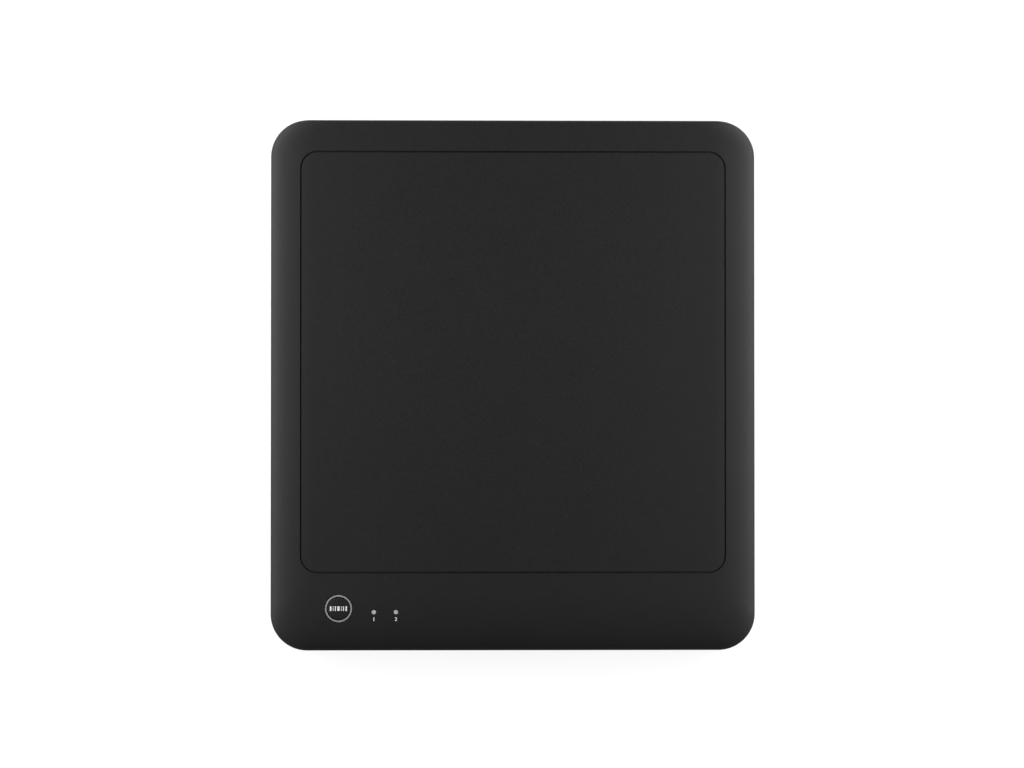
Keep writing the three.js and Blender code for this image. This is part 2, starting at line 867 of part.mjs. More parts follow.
// Light ring: the visible ring, a flange under the roof, a skirt and two legs down to its lights.
function make_light_ring() {
  const flange_top_z = ring_flange_z + ring_flange_height;
  let ring = solid(
    turned(
      [
        [ring_inner_radius, ring_flange_z],
        [ring_skirt_inner_radius, ring_flange_z],
        [ring_skirt_inner_radius, ring_skirt_z],
        [ring_skirt_radius, ring_skirt_z],
        [ring_skirt_radius, ring_flange_z],
        [ring_flange_radius, ring_flange_z],
        [ring_flange_radius, flange_top_z],
        [ring_outer_radius, flange_top_z],
        [ring_outer_radius, ring_top_z],
        [ring_inner_radius, ring_top_z],
        [ring_inner_radius, ring_flange_z],
      ],
      ring_sides
    )
  );
  for (const side of [-1, 1]) {
    const x = side * ring_leg_radius;
    const leg = block(
      [x - ring_leg_wall / 2, -ring_leg_width / 2, led_top_z + seat_gap],
      [x + ring_leg_wall / 2, ring_leg_width / 2, ring_flange_z + ring_flange_height / 2]
    );
    ring = ring.add(solid(leg));
  }
  return geometry_of(ring);
}

// Scan key: a dished cap, a flange that stops under the light ring, and a stem over the switch.
function make_scan_key() {
  return turned(
    [
      [0, plunger_z + seat_gap],
      [key_stem_radius, plunger_z + seat_gap],
      [key_stem_radius, key_flange_low_z],
      [key_flange_radius, key_flange_low_z],
      [key_flange_radius, key_flange_top_z],
      [key_radius, key_flange_top_z],
      [key_radius, ring_top_z],
      [key_radius * (1 - top_corner_share / 2), ring_top_z - key_dish / 2],
      [0, ring_top_z - key_dish],
    ],
    ring_sides
  );
}

function make_light_pipe() {
  const flange_radius = light_pipe_radius + light_pipe_flange_reach;
  const shaft_radius = light_pipe_radius + light_pipe_shaft_reach;
  const flange_top_z = roof_z - seat_gap;
  return turned([
    [0, led_top_z + seat_gap],
    [shaft_radius, led_top_z + seat_gap],
    [shaft_radius, flange_top_z - light_pipe_flange_height],
    [flange_radius, flange_top_z - light_pipe_flange_height],
    [flange_radius, flange_top_z],
    [light_pipe_radius, flange_top_z],
    [light_pipe_radius, ring_top_z],
    [0, ring_top_z],
  ]);
}

// Main board and what is soldered to it.

function make_main_board() {
  const outline = rounded_outline(board_half, board_front, board_rear, board_thickness);
  const holes = board_screw_places.map(([x, y]) => [x, y, small_screw_shank_radius + fit_gap]);
  return drilled(plate(outline, board_z, board_top_z), holes, board_z, board_top_z);
}

// The plunger stands in a well of the switch body, deep enough for the key's travel.
function make_scan_switch() {
  const half = switch_side / 2;
  const body = solid(slab(half, half, switch_height));
  const well_low = switch_height - plunger_sink - key_travel - fit_gap;
  const well = disc(0, 0, plunger_radius + fit_gap, well_low, switch_height + overrun, round_sides);
  return geometry_of(body.subtract(solid(well)));
}

function make_processor() {
  const outline = (inset) => {
    const half = processor_side / 2 - inset;
    return rounded_outline(half, -half, half, processor_edge);
  };
  return loft([
    { outline: outline(0), z: 0 },
    { outline: outline(0), z: processor_height - processor_edge },
    { outline: outline(processor_edge), z: processor_height },
  ]);
}

function make_radio_module() {
  const half_length = radio_length / 2;
  const half_width = radio_width / 2;
  const can_end = -half_length + radio_length * radio_can_share;
  const board = solid(slab(half_length, half_width, radio_board_thickness));
  const can = block(
    [-half_length + radio_board_thickness, radio_board_thickness - half_width, 0],
    [can_end, half_width - radio_board_thickness, radio_board_thickness + radio_can_height]
  );
  return geometry_of(board.add(solid(can)));
}

function make_shield() {
  const outer = rounded_outline(can_length / 2, -can_width / 2, can_width / 2, can_corner);
  const inner = rounded_outline(
    can_length / 2 - can_wall,
    can_wall - can_width / 2,
    can_width / 2 - can_wall,
    can_corner - can_wall
  );
  const can = solid(plate(outer, 0, can_height));
  return geometry_of(can.subtract(solid(plate(inner, -overrun, can_height - can_wall))));
}

function make_buzzer() {
  return turned([
    [0, 0],
    [buzzer_radius, 0],
    [buzzer_radius, buzzer_height],
    [buzzer_hole_radius, buzzer_height],
    [buzzer_hole_radius, buzzer_height - buzzer_hole_depth],
    [0, buzzer_height - buzzer_hole_depth],
  ]);
}

function make_led() {
  return slab(led_length / 2, led_width / 2, led_height);
}

// Charging socket: a stadium-shaped metal shell, open at its mouth, round a plastic tongue.

function socket_plate(inset, depth) {
  const half_height = socket_height / 2 - inset;
  const outline = rounded_outline(socket_width / 2 - inset, -half_height, half_height, half_height);
  return plate(outline, 0, depth).rotateX(Math.PI / 2);
}

function make_socket_shell() {
  const shell = solid(socket_plate(0, socket_depth));
  const hollow = socket_plate(socket_wall, socket_depth - socket_wall + overrun).translate(0, overrun, 0);
  return geometry_of(shell.subtract(solid(hollow)));
}

function make_socket_tongue() {
  const back = -socket_depth + socket_wall + fit_gap;
  const root_half = (socket_width / 2 - socket_wall) * tongue_width_share;
  const root_height = (socket_height / 2 - socket_wall) * tongue_width_share;
  const root = solid(block([-root_half, back, -root_height], [root_half, back + tongue_root, root_height]));
  const reach = back + (socket_depth - socket_wall) * tongue_reach_share;
  const half = tongue_thickness / 2;
  const tongue = block([-root_half, back, -half], [root_half, reach, half]);
  return geometry_of(root.add(solid(tongue)));
}

function make_charge_board() {
  const board = block(
    [-charge_board_left, charge_board_front, charge_board_z],
    [charge_board_right, charge_board_rear, charge_board_top_z]
  );
  const holes = charge_posts.map(([x, y]) => [x, y, charge_pin_radius + fit_gap]);
  return drilled(board, holes, charge_board_z, charge_board_top_z);
}

// Ribbon socket, with its slot at the end that faces +Y.
function make_ribbon_socket() {
  const half_length = ribbon_socket_length / 2;
  const half_width = ribbon_socket_width / 2;
  const body = solid(slab(half_length, half_width, ribbon_socket_height));
  const half_slot = ribbon_thickness / 2 + fit_gap;
  const slot = block(
    [-ribbon_width / 2 - fit_gap, 0, ribbon_socket_height / 2 - half_slot],
    [ribbon_width / 2 + fit_gap, half_width + overrun, ribbon_socket_height / 2 + half_slot]
  );
  return geometry_of(body.subtract(solid(slot)));
}

// The ribbon leaves the main board's socket, drops between board and plate, and runs to the rear.
function make_ribbon() {
  const high = part_z + ribbon_socket_height / 2;
  const low = charge_board_top_z + solder_gap + ribbon_socket_height / 2;
  const bend = (high - low) * ribbon_bend_share;
  const half = ribbon_thickness / 2;
  const side = (grow) => {
    const line = new THREE.Path();
    line.moveTo(ribbon_main_y + fit_gap, high + grow);
    line.lineTo(gap_middle_y - bend, high + grow);
    line.absarc(gap_middle_y - bend, high - bend, bend + grow, Math.PI / 2, 0, true);
    line.absarc(gap_middle_y + bend, low + bend, bend - grow, Math.PI, 1.5 * Math.PI, false);
    line.lineTo(ribbon_charge_y - fit_gap, low + grow);
    return line.getPoints(corner_steps / 2);
  };
  const outline = [...side(-half), ...side(half).reverse()];
  return new THREE.ExtrudeGeometry(new THREE.Shape(outline), { depth: ribbon_width, bevelEnabled: false })
    .rotateX(Math.PI / 2)
    .rotateZ(Math.PI / 2)
    .translate(-ribbon_width / 2, 0, 0);
}

// Battery: a pouch cell with its folded terrace at the front, where the leads start.

function make_battery_cell() {
  const outline = (inset) => {
    const end = cell_depth / 2 - inset;
    return rounded_outline(cell_width / 2 - inset, -end, end, cell_corner - inset);
  };
  const pouch = solid(
    loft([
      { outline: outline(cell_edge_round), z: 0 },
      { outline: outline(0), z: cell_edge_round },
      { outline: outline(0), z: cell_height - cell_edge_round },
      { outline: outline(cell_edge_round), z: cell_height },
    ])
  );
  const half = cell_width / 2 - cell_tab_inset;
  const front = -cell_depth / 2 - cell_tab_depth;
  const middle = cell_height / 2;
  const terrace = block(
    [-half, front, middle - cell_tab_height / 2],
    [half, 0, middle + cell_tab_height / 2]
  );
  return geometry_of(pouch.add(solid(terrace)));
}

function make_battery_lead(side) {
  const plug_z = part_z + battery_plug_height / 2;
  const start_y = cell_y - cell_depth / 2 - cell_tab_depth - seat_gap;
  const end_y = board_rear - battery_plug_inset + battery_plug_depth + seat_gap;
  const x = cell_x + (side * lead_spacing) / 2;
  const end_x = battery_plug_x + (side * lead_spacing) / 2;
  const lead_z = cell_z + cell_height / 2;
  const rise = gap_middle_y;
  return wire(
    [
      [x, start_y, lead_z],
      [x, start_y - cell_tab_depth, lead_z],
      [x + (end_x - x) / 2, (start_y + plate_front) / 2, wire_low_z],
      [end_x, plate_front + cell_tab_depth, wire_low_z],
      [end_x, rise + lead_spacing, wire_low_z + lead_spacing],
      [end_x, rise, (wire_low_z + plug_z) / 2 + lead_spacing / 2],
      [end_x, end_y + lead_radius * 2, plug_z],
      [end_x, end_y, plug_z],
    ],
    lead_radius
  );
}

function make_battery_plug() {
  const half = battery_plug_width / 2;
  return block([-half, 0, 0], [half, battery_plug_depth, battery_plug_height]);
}

// The header's mouth faces +Y, and the plug's nose stands in front of it.
function make_battery_socket() {
  const half = battery_plug_width / 2 + socket_wall * 2;
  const body = solid(block([-half, -battery_socket_depth, 0], [half, 0, battery_plug_height]));
  const mouth = block(
    [-battery_plug_width / 2, -battery_socket_depth / 2, socket_wall * 2],
    [battery_plug_width / 2, overrun, battery_plug_height - socket_wall * 2]
  );
  return geometry_of(body.subtract(solid(mouth)));
}

// Antenna

function make_ground_plate() {
  const outline = rounded_outline(plate_half, plate_front, plate_rear, plate_corner);
  const holes = [
    ...plate_screw_places.map(([x, y]) => [x, y, small_screw_shank_radius + fit_gap]),
    ...spacer_places.map(([x, y]) => [x, y, spacer_pin_radius + fit_gap]),
    [0, feed_y, feed_hole_radius],
  ];
  return drilled(plate(outline, plate_z, plate_top_z), holes, plate_z, plate_top_z);
}

// The patch is a square with two cut corners, which makes the antenna's field turn.
function make_patch() {
  const half = patch_side / 2;
  const outline = [
    [half, -half],
    [half, half - patch_cut],
    [half - patch_cut, half],
    [-half, half],
    [-half, patch_cut - half],
    [patch_cut - half, -half],
  ].map(([x, y]) => new THREE.Vector2(x, y + panel_middle_y));
  const holes = [
    ...spacer_places.map(([x, y]) => [x, y, spacer_pin_radius + fit_gap]),
    [0, feed_y, feed_pin_radius + fit_gap],
  ];
  return drilled(plate(outline, patch_z, patch_top_z), holes, patch_z, patch_top_z);
}

// Nylon spacer, snapped through the ground plate below and the patch above.
function make_spacer() {
  const low = plate_z - seat_gap;
  const high = patch_top_z + seat_gap;
  return turned(
    [
      [0, low - spacer_head_height],
      [spacer_pin_radius, low - spacer_head_height],
      [spacer_head_radius, low],
      [spacer_pin_radius, low],
      [spacer_pin_radius, plate_top_z + seat_gap],
      [spacer_radius, plate_top_z + seat_gap],
      [spacer_radius, patch_z - seat_gap],
      [spacer_pin_radius, patch_z - seat_gap],
      [spacer_pin_radius, high],
      [spacer_head_radius, high],
      [spacer_pin_radius, high + spacer_head_height],
      [0, high + spacer_head_height],
    ],
    small_sides
  );
}

function make_feed_board() {
  const high_z = feed_board_z + feed_board_thickness;
  const board = block(
    [-feed_board_width / 2, feed_board_front, feed_board_z],
    [feed_board_width / 2, feed_board_front + feed_board_depth, high_z]
  );
  return drilled(board, [[0, feed_y, feed_pin_radius + fit_gap]], feed_board_z, high_z);
}

function make_feed_pin() {
  const flange_high = patch_z - seat_gap;
  return turned(
    [
      [0, feed_board_z],
      [feed_pin_radius, feed_board_z],
      [feed_pin_radius, flange_high - feed_pin_flange_height],
      [feed_pin_flange_radius, flange_high - feed_pin_flange_height],
      [feed_pin_flange_radius, flange_high],
      [feed_pin_radius, flange_high],
      [feed_pin_radius, patch_top_z],
      [0, patch_top_z],
    ],
    small_sides
  );
}

// Coaxial plug: a round cap with a square barrel that the cable enters.
function make_cable_plug(toward) {
  const half = cable_radius;
  const cap = solid(disc(0, 0, cable_plug_radius, 0, cable_plug_height, small_sides));
  const reach = toward * (cable_plug_radius + cable_barrel_length);
  const ends = [0, reach].sort((a, b) => a - b);
  const middle = cable_plug_height / 2;
  const barrel = block([-half, ends[0], middle - half], [half, ends[1], middle + half]);
  return geometry_of(cap.add(solid(barrel)));
}

function make_antenna_cable() {
  const barrel = cable_plug_radius + cable_barrel_length + seat_gap;
  const high = module_plug_z + cable_plug_height / 2;
  const low = feed_plug_z + cable_plug_height / 2;
  const x = module_plug_x;
  return wire(
    [
      [x, module_plug_y + barrel, high],
      [x, module_plug_y + barrel + cable_radius, high],
      [x, gap_middle_y, (high + low) / 2 + cable_radius],
      [x, plate_front - cable_radius, low + cable_radius],
      [x, plate_front + cable_barrel_length * 2, low],
      [x / 2, (plate_front + feed_plug_y - barrel) / 2, low],
      [0, feed_plug_y - barrel - cable_barrel_length, low],
      [0, feed_plug_y - barrel, low],
    ],
    cable_radius
  );
}

// Assembly: the housing and what it carries

add(reader, "base_cover", make_base_cover(), housing_plastic());
add(reader, "top_cover", make_top_cover(), housing_plastic());
add(reader, "antenna_panel", make_antenna_panel(), panel_plastic());

const foot_names = ["front_left_foot", "rear_left_foot", "front_right_foot", "rear_right_foot"];
foot_places.forEach(([x, y], index) => add(reader, foot_names[index], make_foot(), rubber(), [x, y, 0]));

screw_places.forEach(([x, y], index) => {
  const geometry = screw(screw_shank_radius, screw_head_radius, screw_head_height, screw_length, screw_tip);
  add(reader, `cover_screw_${index + 1}`, geometry, zinc_steel(), [x, y, screw_head_z]);
});

const controls = new THREE.Group();
reader.add(controls);
add(controls, "scan_light_ring", make_light_ring(), milky_plastic(), [key_x, key_y, 0]);
add(controls, "scan_key", make_scan_key(), housing_plastic(), [key_x, key_y, 0]);
add(controls, "link_light_pipe", make_light_pipe(), milky_plastic(), [link_x, light_y, 0]);
add(controls, "work_light_pipe", make_light_pipe(), milky_plastic(), [work_x, light_y, 0]);

const board_group = new THREE.Group();
reader.add(board_group);
add(board_group, "main_board", make_main_board(), green_board());
board_screw_places.forEach(([x, y], index) => {
  add(board_group, `board_screw_${index + 1}`, small_screw(), zinc_steel(), [x, y, board_top_z + seat_gap]);
});
add(board_group, "scan_switch", make_scan_switch(), chip_plastic(), [key_x, key_y, part_z]);
const plunger_low_z = switch_top_z - plunger_sink;
add(
  board_group,
  "scan_switch_plunger",
  disc(0, 0, plunger_radius, 0, plunger_z - plunger_low_z, round_sides),
  white_nylon(),
  [key_x, key_y, plunger_low_z]
);
const led_places = {
  ring_led_1: [key_x - ring_leg_radius, key_y],
  ring_led_2: [key_x + ring_leg_radius, key_y],
  link_led: [link_x, light_y],
  work_led: [work_x, light_y],
};
for (const [name, [x, y]] of Object.entries(led_places)) {
  add(board_group, name, make_led(), light_chip(), [x, y, part_z]);
}
const chips = new THREE.Group();
chips.position.set(0, board_middle_y, part_z);
board_group.add(chips);
add(chips, "processor_chip", make_processor(), chip_plastic(), [processor_x, 0, 0]);
add(chips, "radio_module", make_radio_module(), tinned_steel(), [radio_x, 0, 0]);
add(chips, "buzzer", make_buzzer(), chip_plastic(), [buzzer_x, 0, 0]);
add(
  chips,
  "reader_module_board",
  slab(module_length / 2, module_width / 2, module_board_thickness),
  green_board(),
  [module_x, 0, 0]
);
const shield_x = module_x + (module_length - can_length) / 2 - module_board_thickness;
add(chips, "reader_module_shield", make_shield(), tinned_steel(), [
  shield_x,
  0,
  module_board_thickness + solder_gap,
]);

add(reader, "charge_board", make_charge_board(), green_board());
const socket = new THREE.Group();
socket.position.set(0, socket_mouth_y, socket_z);
reader.add(socket);
add(socket, "charge_socket_shell", make_socket_shell(), tinned_steel());
add(socket, "charge_socket_tongue", make_socket_tongue(), chip_plastic());
add(reader, "ribbon_socket_main", make_ribbon_socket(), white_nylon(), [
  -ribbon_offset,
  ribbon_main_y,
  part_z,
]);
const rear_ribbon_socket = add(reader, "ribbon_socket_rear", make_ribbon_socket(), white_nylon(), [
  -ribbon_offset,
  ribbon_charge_y,
  charge_board_top_z + solder_gap,
]);
rear_ribbon_socket.rotation.z = Math.PI;
add(reader, "charge_ribbon", make_ribbon(), ribbon_film(), [-ribbon_offset, 0, 0]);

add(reader, "battery_cell", make_battery_cell(), foil_pouch(), [cell_x, cell_y, cell_z]);
add(reader, "battery_lead_positive", make_battery_lead(-1), red_wire());
add(reader, "battery_lead_negative", make_battery_lead(1), black_wire());
const battery_plug_place = [battery_plug_x, board_rear - battery_plug_inset, part_z];
add(reader, "battery_plug", make_battery_plug(), white_nylon(), battery_plug_place);
const battery_socket_place = [battery_plug_place[0], battery_plug_place[1] - seat_gap, part_z];
add(reader, "battery_socket", make_battery_socket(), white_nylon(), battery_socket_place);

const antenna = new THREE.Group();
reader.add(antenna);
add(antenna, "antenna_ground_plate", make_ground_plate(), aluminium());
plate_screw_places.forEach(([x, y], index) => {
  add(antenna, `plate_screw_${index + 1}`, small_screw(), zinc_steel(), [x, y, plate_top_z + seat_gap]);
});
add(antenna, "antenna_patch", make_patch(), aluminium());
spacer_places.forEach(([x, y], index) => {
  add(antenna, `patch_spacer_${index + 1}`, make_spacer(), white_nylon(), [x, y, 0]);
});
add(antenna, "antenna_feed_board", make_feed_board(), green_board());
add(antenna, "antenna_feed_pin", make_feed_pin(), brass(), [0, feed_y, 0]);
add(antenna, "antenna_cable", make_antenna_cable(), black_wire());
add(antenna, "cable_plug_module", make_cable_plug(1), brass(), [
  module_plug_x,
  module_plug_y,
  module_plug_z,
]);
add(antenna, "cable_plug_feed", make_cable_plug(-1), brass(), [0, feed_plug_y, feed_plug_z]);

export default reader;
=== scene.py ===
# Looks of a desktop RFID reader, built round its packed frame. Metres, +Z up, front at -Y.

import json
import math
from contextlib import contextmanager

import bmesh
import bpy
from bpy.props import FloatProperty, FloatVectorProperty, IntProperty, PointerProperty
from bpy.types import NodeSocket, Operator, Panel, PropertyGroup
from mathutils import Matrix, Vector


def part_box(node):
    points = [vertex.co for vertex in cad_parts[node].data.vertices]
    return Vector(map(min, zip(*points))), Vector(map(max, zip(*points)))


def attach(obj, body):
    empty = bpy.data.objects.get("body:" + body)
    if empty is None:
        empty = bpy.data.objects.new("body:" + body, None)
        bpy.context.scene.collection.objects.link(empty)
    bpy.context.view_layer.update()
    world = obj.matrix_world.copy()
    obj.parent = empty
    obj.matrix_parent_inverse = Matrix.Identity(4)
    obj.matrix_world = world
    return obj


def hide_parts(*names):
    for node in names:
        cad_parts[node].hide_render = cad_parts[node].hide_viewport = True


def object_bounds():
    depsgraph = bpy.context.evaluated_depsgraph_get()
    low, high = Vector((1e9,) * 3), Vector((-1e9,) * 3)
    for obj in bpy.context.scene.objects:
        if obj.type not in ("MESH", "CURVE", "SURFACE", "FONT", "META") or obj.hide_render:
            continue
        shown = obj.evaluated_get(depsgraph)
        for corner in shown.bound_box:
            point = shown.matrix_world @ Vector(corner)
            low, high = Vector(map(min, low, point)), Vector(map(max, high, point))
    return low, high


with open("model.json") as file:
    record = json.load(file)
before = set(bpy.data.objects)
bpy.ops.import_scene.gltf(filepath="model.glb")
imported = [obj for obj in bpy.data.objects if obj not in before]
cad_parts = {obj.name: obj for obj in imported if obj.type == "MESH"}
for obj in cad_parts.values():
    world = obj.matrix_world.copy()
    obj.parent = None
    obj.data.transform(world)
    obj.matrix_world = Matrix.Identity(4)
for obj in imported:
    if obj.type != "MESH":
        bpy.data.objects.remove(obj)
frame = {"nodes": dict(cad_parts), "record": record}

bl_info = {
    "name": "Desktop RFID reader",
    "version": (1, 0, 0),
    "blender": (4, 5, 0),
    "location": "View3D > Sidebar > Reader",
    "description": "Moulds, finishes and lights the pieces of a desktop RFID reader",
    "category": "Add Mesh",
}

CAD_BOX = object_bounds()
LOW, HIGH = CAD_BOX
TOP = HIGH.z
MM = 0.001
QUARTER = math.pi / 2
# Places nearer than this are the same place.
HAIR = 1e-5
# How far a cutter stands out of what it cuts.
OVERRUN = 1 * MM
# Bend of a fully round end, as a share of half its height.
FULL_ROUND = 0.999
# Size of Blender's own font, as a share of its numbers' height.
FONT_SIZE = 1.25

FEET = ("front_left_foot", "front_right_foot", "rear_left_foot", "rear_right_foot")
LIGHT_PIPES = ("link_light_pipe", "work_light_pipe")
COVER_SCREWS = [f"cover_screw_{number}" for number in range(1, 7)]
# The small screws, by the piece that they hold.
SMALL_SCREWS = {
    "antenna_ground_plate": [f"plate_screw_{number}" for number in range(1, 5)],
    "main_board": [f"board_screw_{number}" for number in range(1, 5)],
}
# One turn of a thread: how far out of the root and how far up, as shares of its depth and pitch.
THREAD = ((0, 0), (1, 0.25), (1, 0.35), (0, 0.6))


def length(name, default, description, lowest=0):
    """A size of the reader, given in millimetres and kept in metres."""
    return FloatProperty(
        name=name,
        description=description,
        default=default * MM,
        min=lowest * MM,
        unit="LENGTH",
        precision=5,
    )


def place(name, default, description):
    """A place in the reader's frame, given in millimetres and kept in metres."""
    return FloatVectorProperty(
        name=name,
        description=description,
        default=[part * MM for part in default],
        subtype="TRANSLATION",
        unit="LENGTH",
    )


def lean(name, default, description):
    """An angle, given in degrees."""
    return FloatProperty(
        name=name, description=description, default=math.radians(default), unit="ROTATION"
    )


def share(name, default, description, **settings):
    """A plain number without a unit."""
    return FloatProperty(
        name=name, description=description, default=default, precision=4, **settings
    )


def colour(name, default, description):
    """A colour, in linear light."""
    return FloatVectorProperty(
        name=name, description=description, default=default, subtype="COLOR", min=0, max=1
    )


class HousingSizes(PropertyGroup):
    """Sizes of the top cover and the base cover."""

    corner_radius: length("Corner radius", 20, "Radius of the housing's upright corners")
    seam_height: length("Seam height", 11, "Top of the base cover's wall")
    seam_gap: length("Seam gap", 0.4, "Shadow gap between the two covers")
    wall: length("Wall", 2.4, "Thickness of the upright walls")
    roof_wall: length("Roof wall", 2.2, "Thickness of the top cover's roof")
    floor_wall: length("Floor wall", 2.2, "Thickness of the base cover's floor")
    lip_height: length("Tongue height", 1.6, "How far the base cover's tongue stands up")
    lip_wall: length("Tongue wall", 1, "Thickness of that tongue")
    side_crown: length("Side crown", 24, "Width of the curved edge at the left and right")
    front_crown: length("Front crown", 30.5, "Width of the curved edge at the front")
    rear_crown: length("Rear crown", 3.2, "Width of the curved edge at the rear")
    rear_bend: share("Rear bend", 2, "1 for a round rear edge, more for a squarer one", min=1)
    crown_height: length("Crown height", 5.6, "Height of the curved edges")
    corner_shrink: length("Corner shrink", 9, "Fall of the corner radius up the crown")
    base_round: length("Base rounding", 3.2, "Width of the base cover's rounded lower edge")
    base_round_height: length("Base rounding height", 3.6, "Height of that rounded edge")
    stand: length("Stand", 1.6, "Gap between the base cover and the table")
    softness: length("Edge softness", 0.22, "Rounding of the edges at the seam and the holes")
    label_width: length("Label width", 84, "Width of the shallow blank recess underneath")
    label_depth: length("Label depth", 46, "Front to back size of that recess")
    label_sink: length("Label sink", 0.3, "How far that recess is sunk")

    @property
    def roof_z(self):
        """Underside of the roof."""
        return TOP - self.roof_wall

    @property
    def mid_roof_z(self):
        """Middle of the roof's thickness."""
        return TOP - self.roof_wall / 2

    @property
    def tongue_z(self):
        """Top of the base cover's tongue."""
        return self.seam_height + self.lip_height

    @property
    def floor_z(self):
        """Top of the base cover's floor."""
        return self.stand + self.floor_wall


class PanelSizes(PropertyGroup):
    """Sizes of the antenna panel and of its recess."""

    corner: length("Corner radius", 8.7, "Radius of the panel's corners")
    spread: length("Spread", -0.09, "How far the plate reaches past its frame node", -1)
    groove: length("Groove", 0.92, "Gap round the panel")
    thickness: length("Thickness", 2, "Thickness of the panel")
    edge_round: length("Edge rounding", 0.3, "Rounding of the panel's upper edge")
    lip_round: length("Lip rounding", 0.4, "Rounding of the recess's upper edge")
    step_width: length("Step width", 0.72, "How far the panel's step reaches into the groove")
    step_depth: length("Step depth", 0.75, "Depth of that step under the top")
    ledge_width: length("Ledge width", 5, "Width of the ledge under the panel's rim")
    ledge_thickness: length("Ledge thickness", 1.4, "Thickness of that ledge")
    recess_wall: length("Recess wall", 2, "Wall round the recess, under the roof")
    rib: length("Rib", 1, "Thickness of the ribs under the panel")
    rib_height: length("Rib height", 0.9, "Height of those ribs")
    rib_spread: share("Rib spread", 0.82, "Share of the panel that the ribs take up", max=1)
    ribs: IntProperty(name="Ribs", description="Ribs each way", default=4, min=2, max=9)
    hook_width: length("Hook width", 9, "Width of the panel's snap hooks")
    hook_wall: length("Hook wall", 1.2, "Thickness of the snap hooks")
    hook_tip: length("Hook tip", 1.4, "Height of the hooks' ends")
    hook_spread: share("Hook spread", 0.62, "Place of the outer hooks along half a side", max=1)

    @property
    def recess(self):
        """How far the recess reaches past the panel's frame node."""
        return self.spread + self.groove


class ControlSizes(PropertyGroup):
    """Sizes of the scan key, its ring, the light windows and the white print."""

    fit: length("Fit", 0.3, "Gap between pieces that fit into each other")
    slack: length("Slack", 0.15, "Gap between the key's stop flange and the ring")
    trim: length("Trim gap", 0.45, "Gap round the ring and the key")
    pipe_trim: length("Window gap", 0.3, "Gap round the light windows")
    flush: length("Flush", 0.06, "How far ring and windows lie under the cover's surface")
    guide_edge: length("Guide edge", 0.2, "Rounding of the ring's and the windows' rims")
    ring_width: length("Ring width", 0.86, "Width of the ring that shows")
    ring_reach: length("Ring flange", 1.63, "How far the ring's flange reaches under the roof")
    ring_skirt: length("Ring skirt", 1, "Wall of the ring's skirt")
    skirt_height: length("Skirt height", 1.6, "How far that skirt hangs under the flange")
    leg_width: length("Leg width", 3, "Width of the ring's legs")
    leg_wall: length("Leg wall", 0.7, "Thickness of the ring's legs")
    flange_height: length("Flange height", 1, "Thickness of the flanges under the roof")
    collar_wall: length("Collar wall", 1.2, "Wall of the roof's collars")
    collar_height: length("Collar height", 3, "Height of the collar round the key")
    key_dome: length("Key dome", 0.2, "Height of the key's domed top")
    key_edge: length("Key edge", 0.4, "Rounding of the key's rim")
    key_flange: length("Key flange", 0.8, "Thickness of the key's stop flange")
    key_lean: lean("Key lean", 2.8, "Forward lean of the key's cap")
    key_sink: length("Key sink", 0.26, "How far the leaning cap lies under the frame's key")
    key_stem: length("Key stem", 2, "Radius of the key's stem")
    pipe_reach: length("Pipe flange", 0.85, "How far a pipe's flange reaches under the roof")
    pipe_shaft: length("Pipe shaft", 0.35, "How far a pipe's shaft is wider than its window")
    print_height: length("Print", 0.03, "Thickness of the white print")
    mark_width: length("Key mark width", 9.4, "Width of the row of bars on the key")
    mark_height: length("Key mark height", 2.5, "Height of the bars on the key")
    bar_gap: share("Bar gap", 2.6, "Gap between those bars, as a share of the thinnest")
    number_height: length("Number height", 2.2, "Height of the light windows' numbers")
    number_bold: length("Number boldness", 0.05, "How far the numbers' strokes are widened")
    number_drop: length("Number drop", 2.5, "From a window's middle to the top of its number")


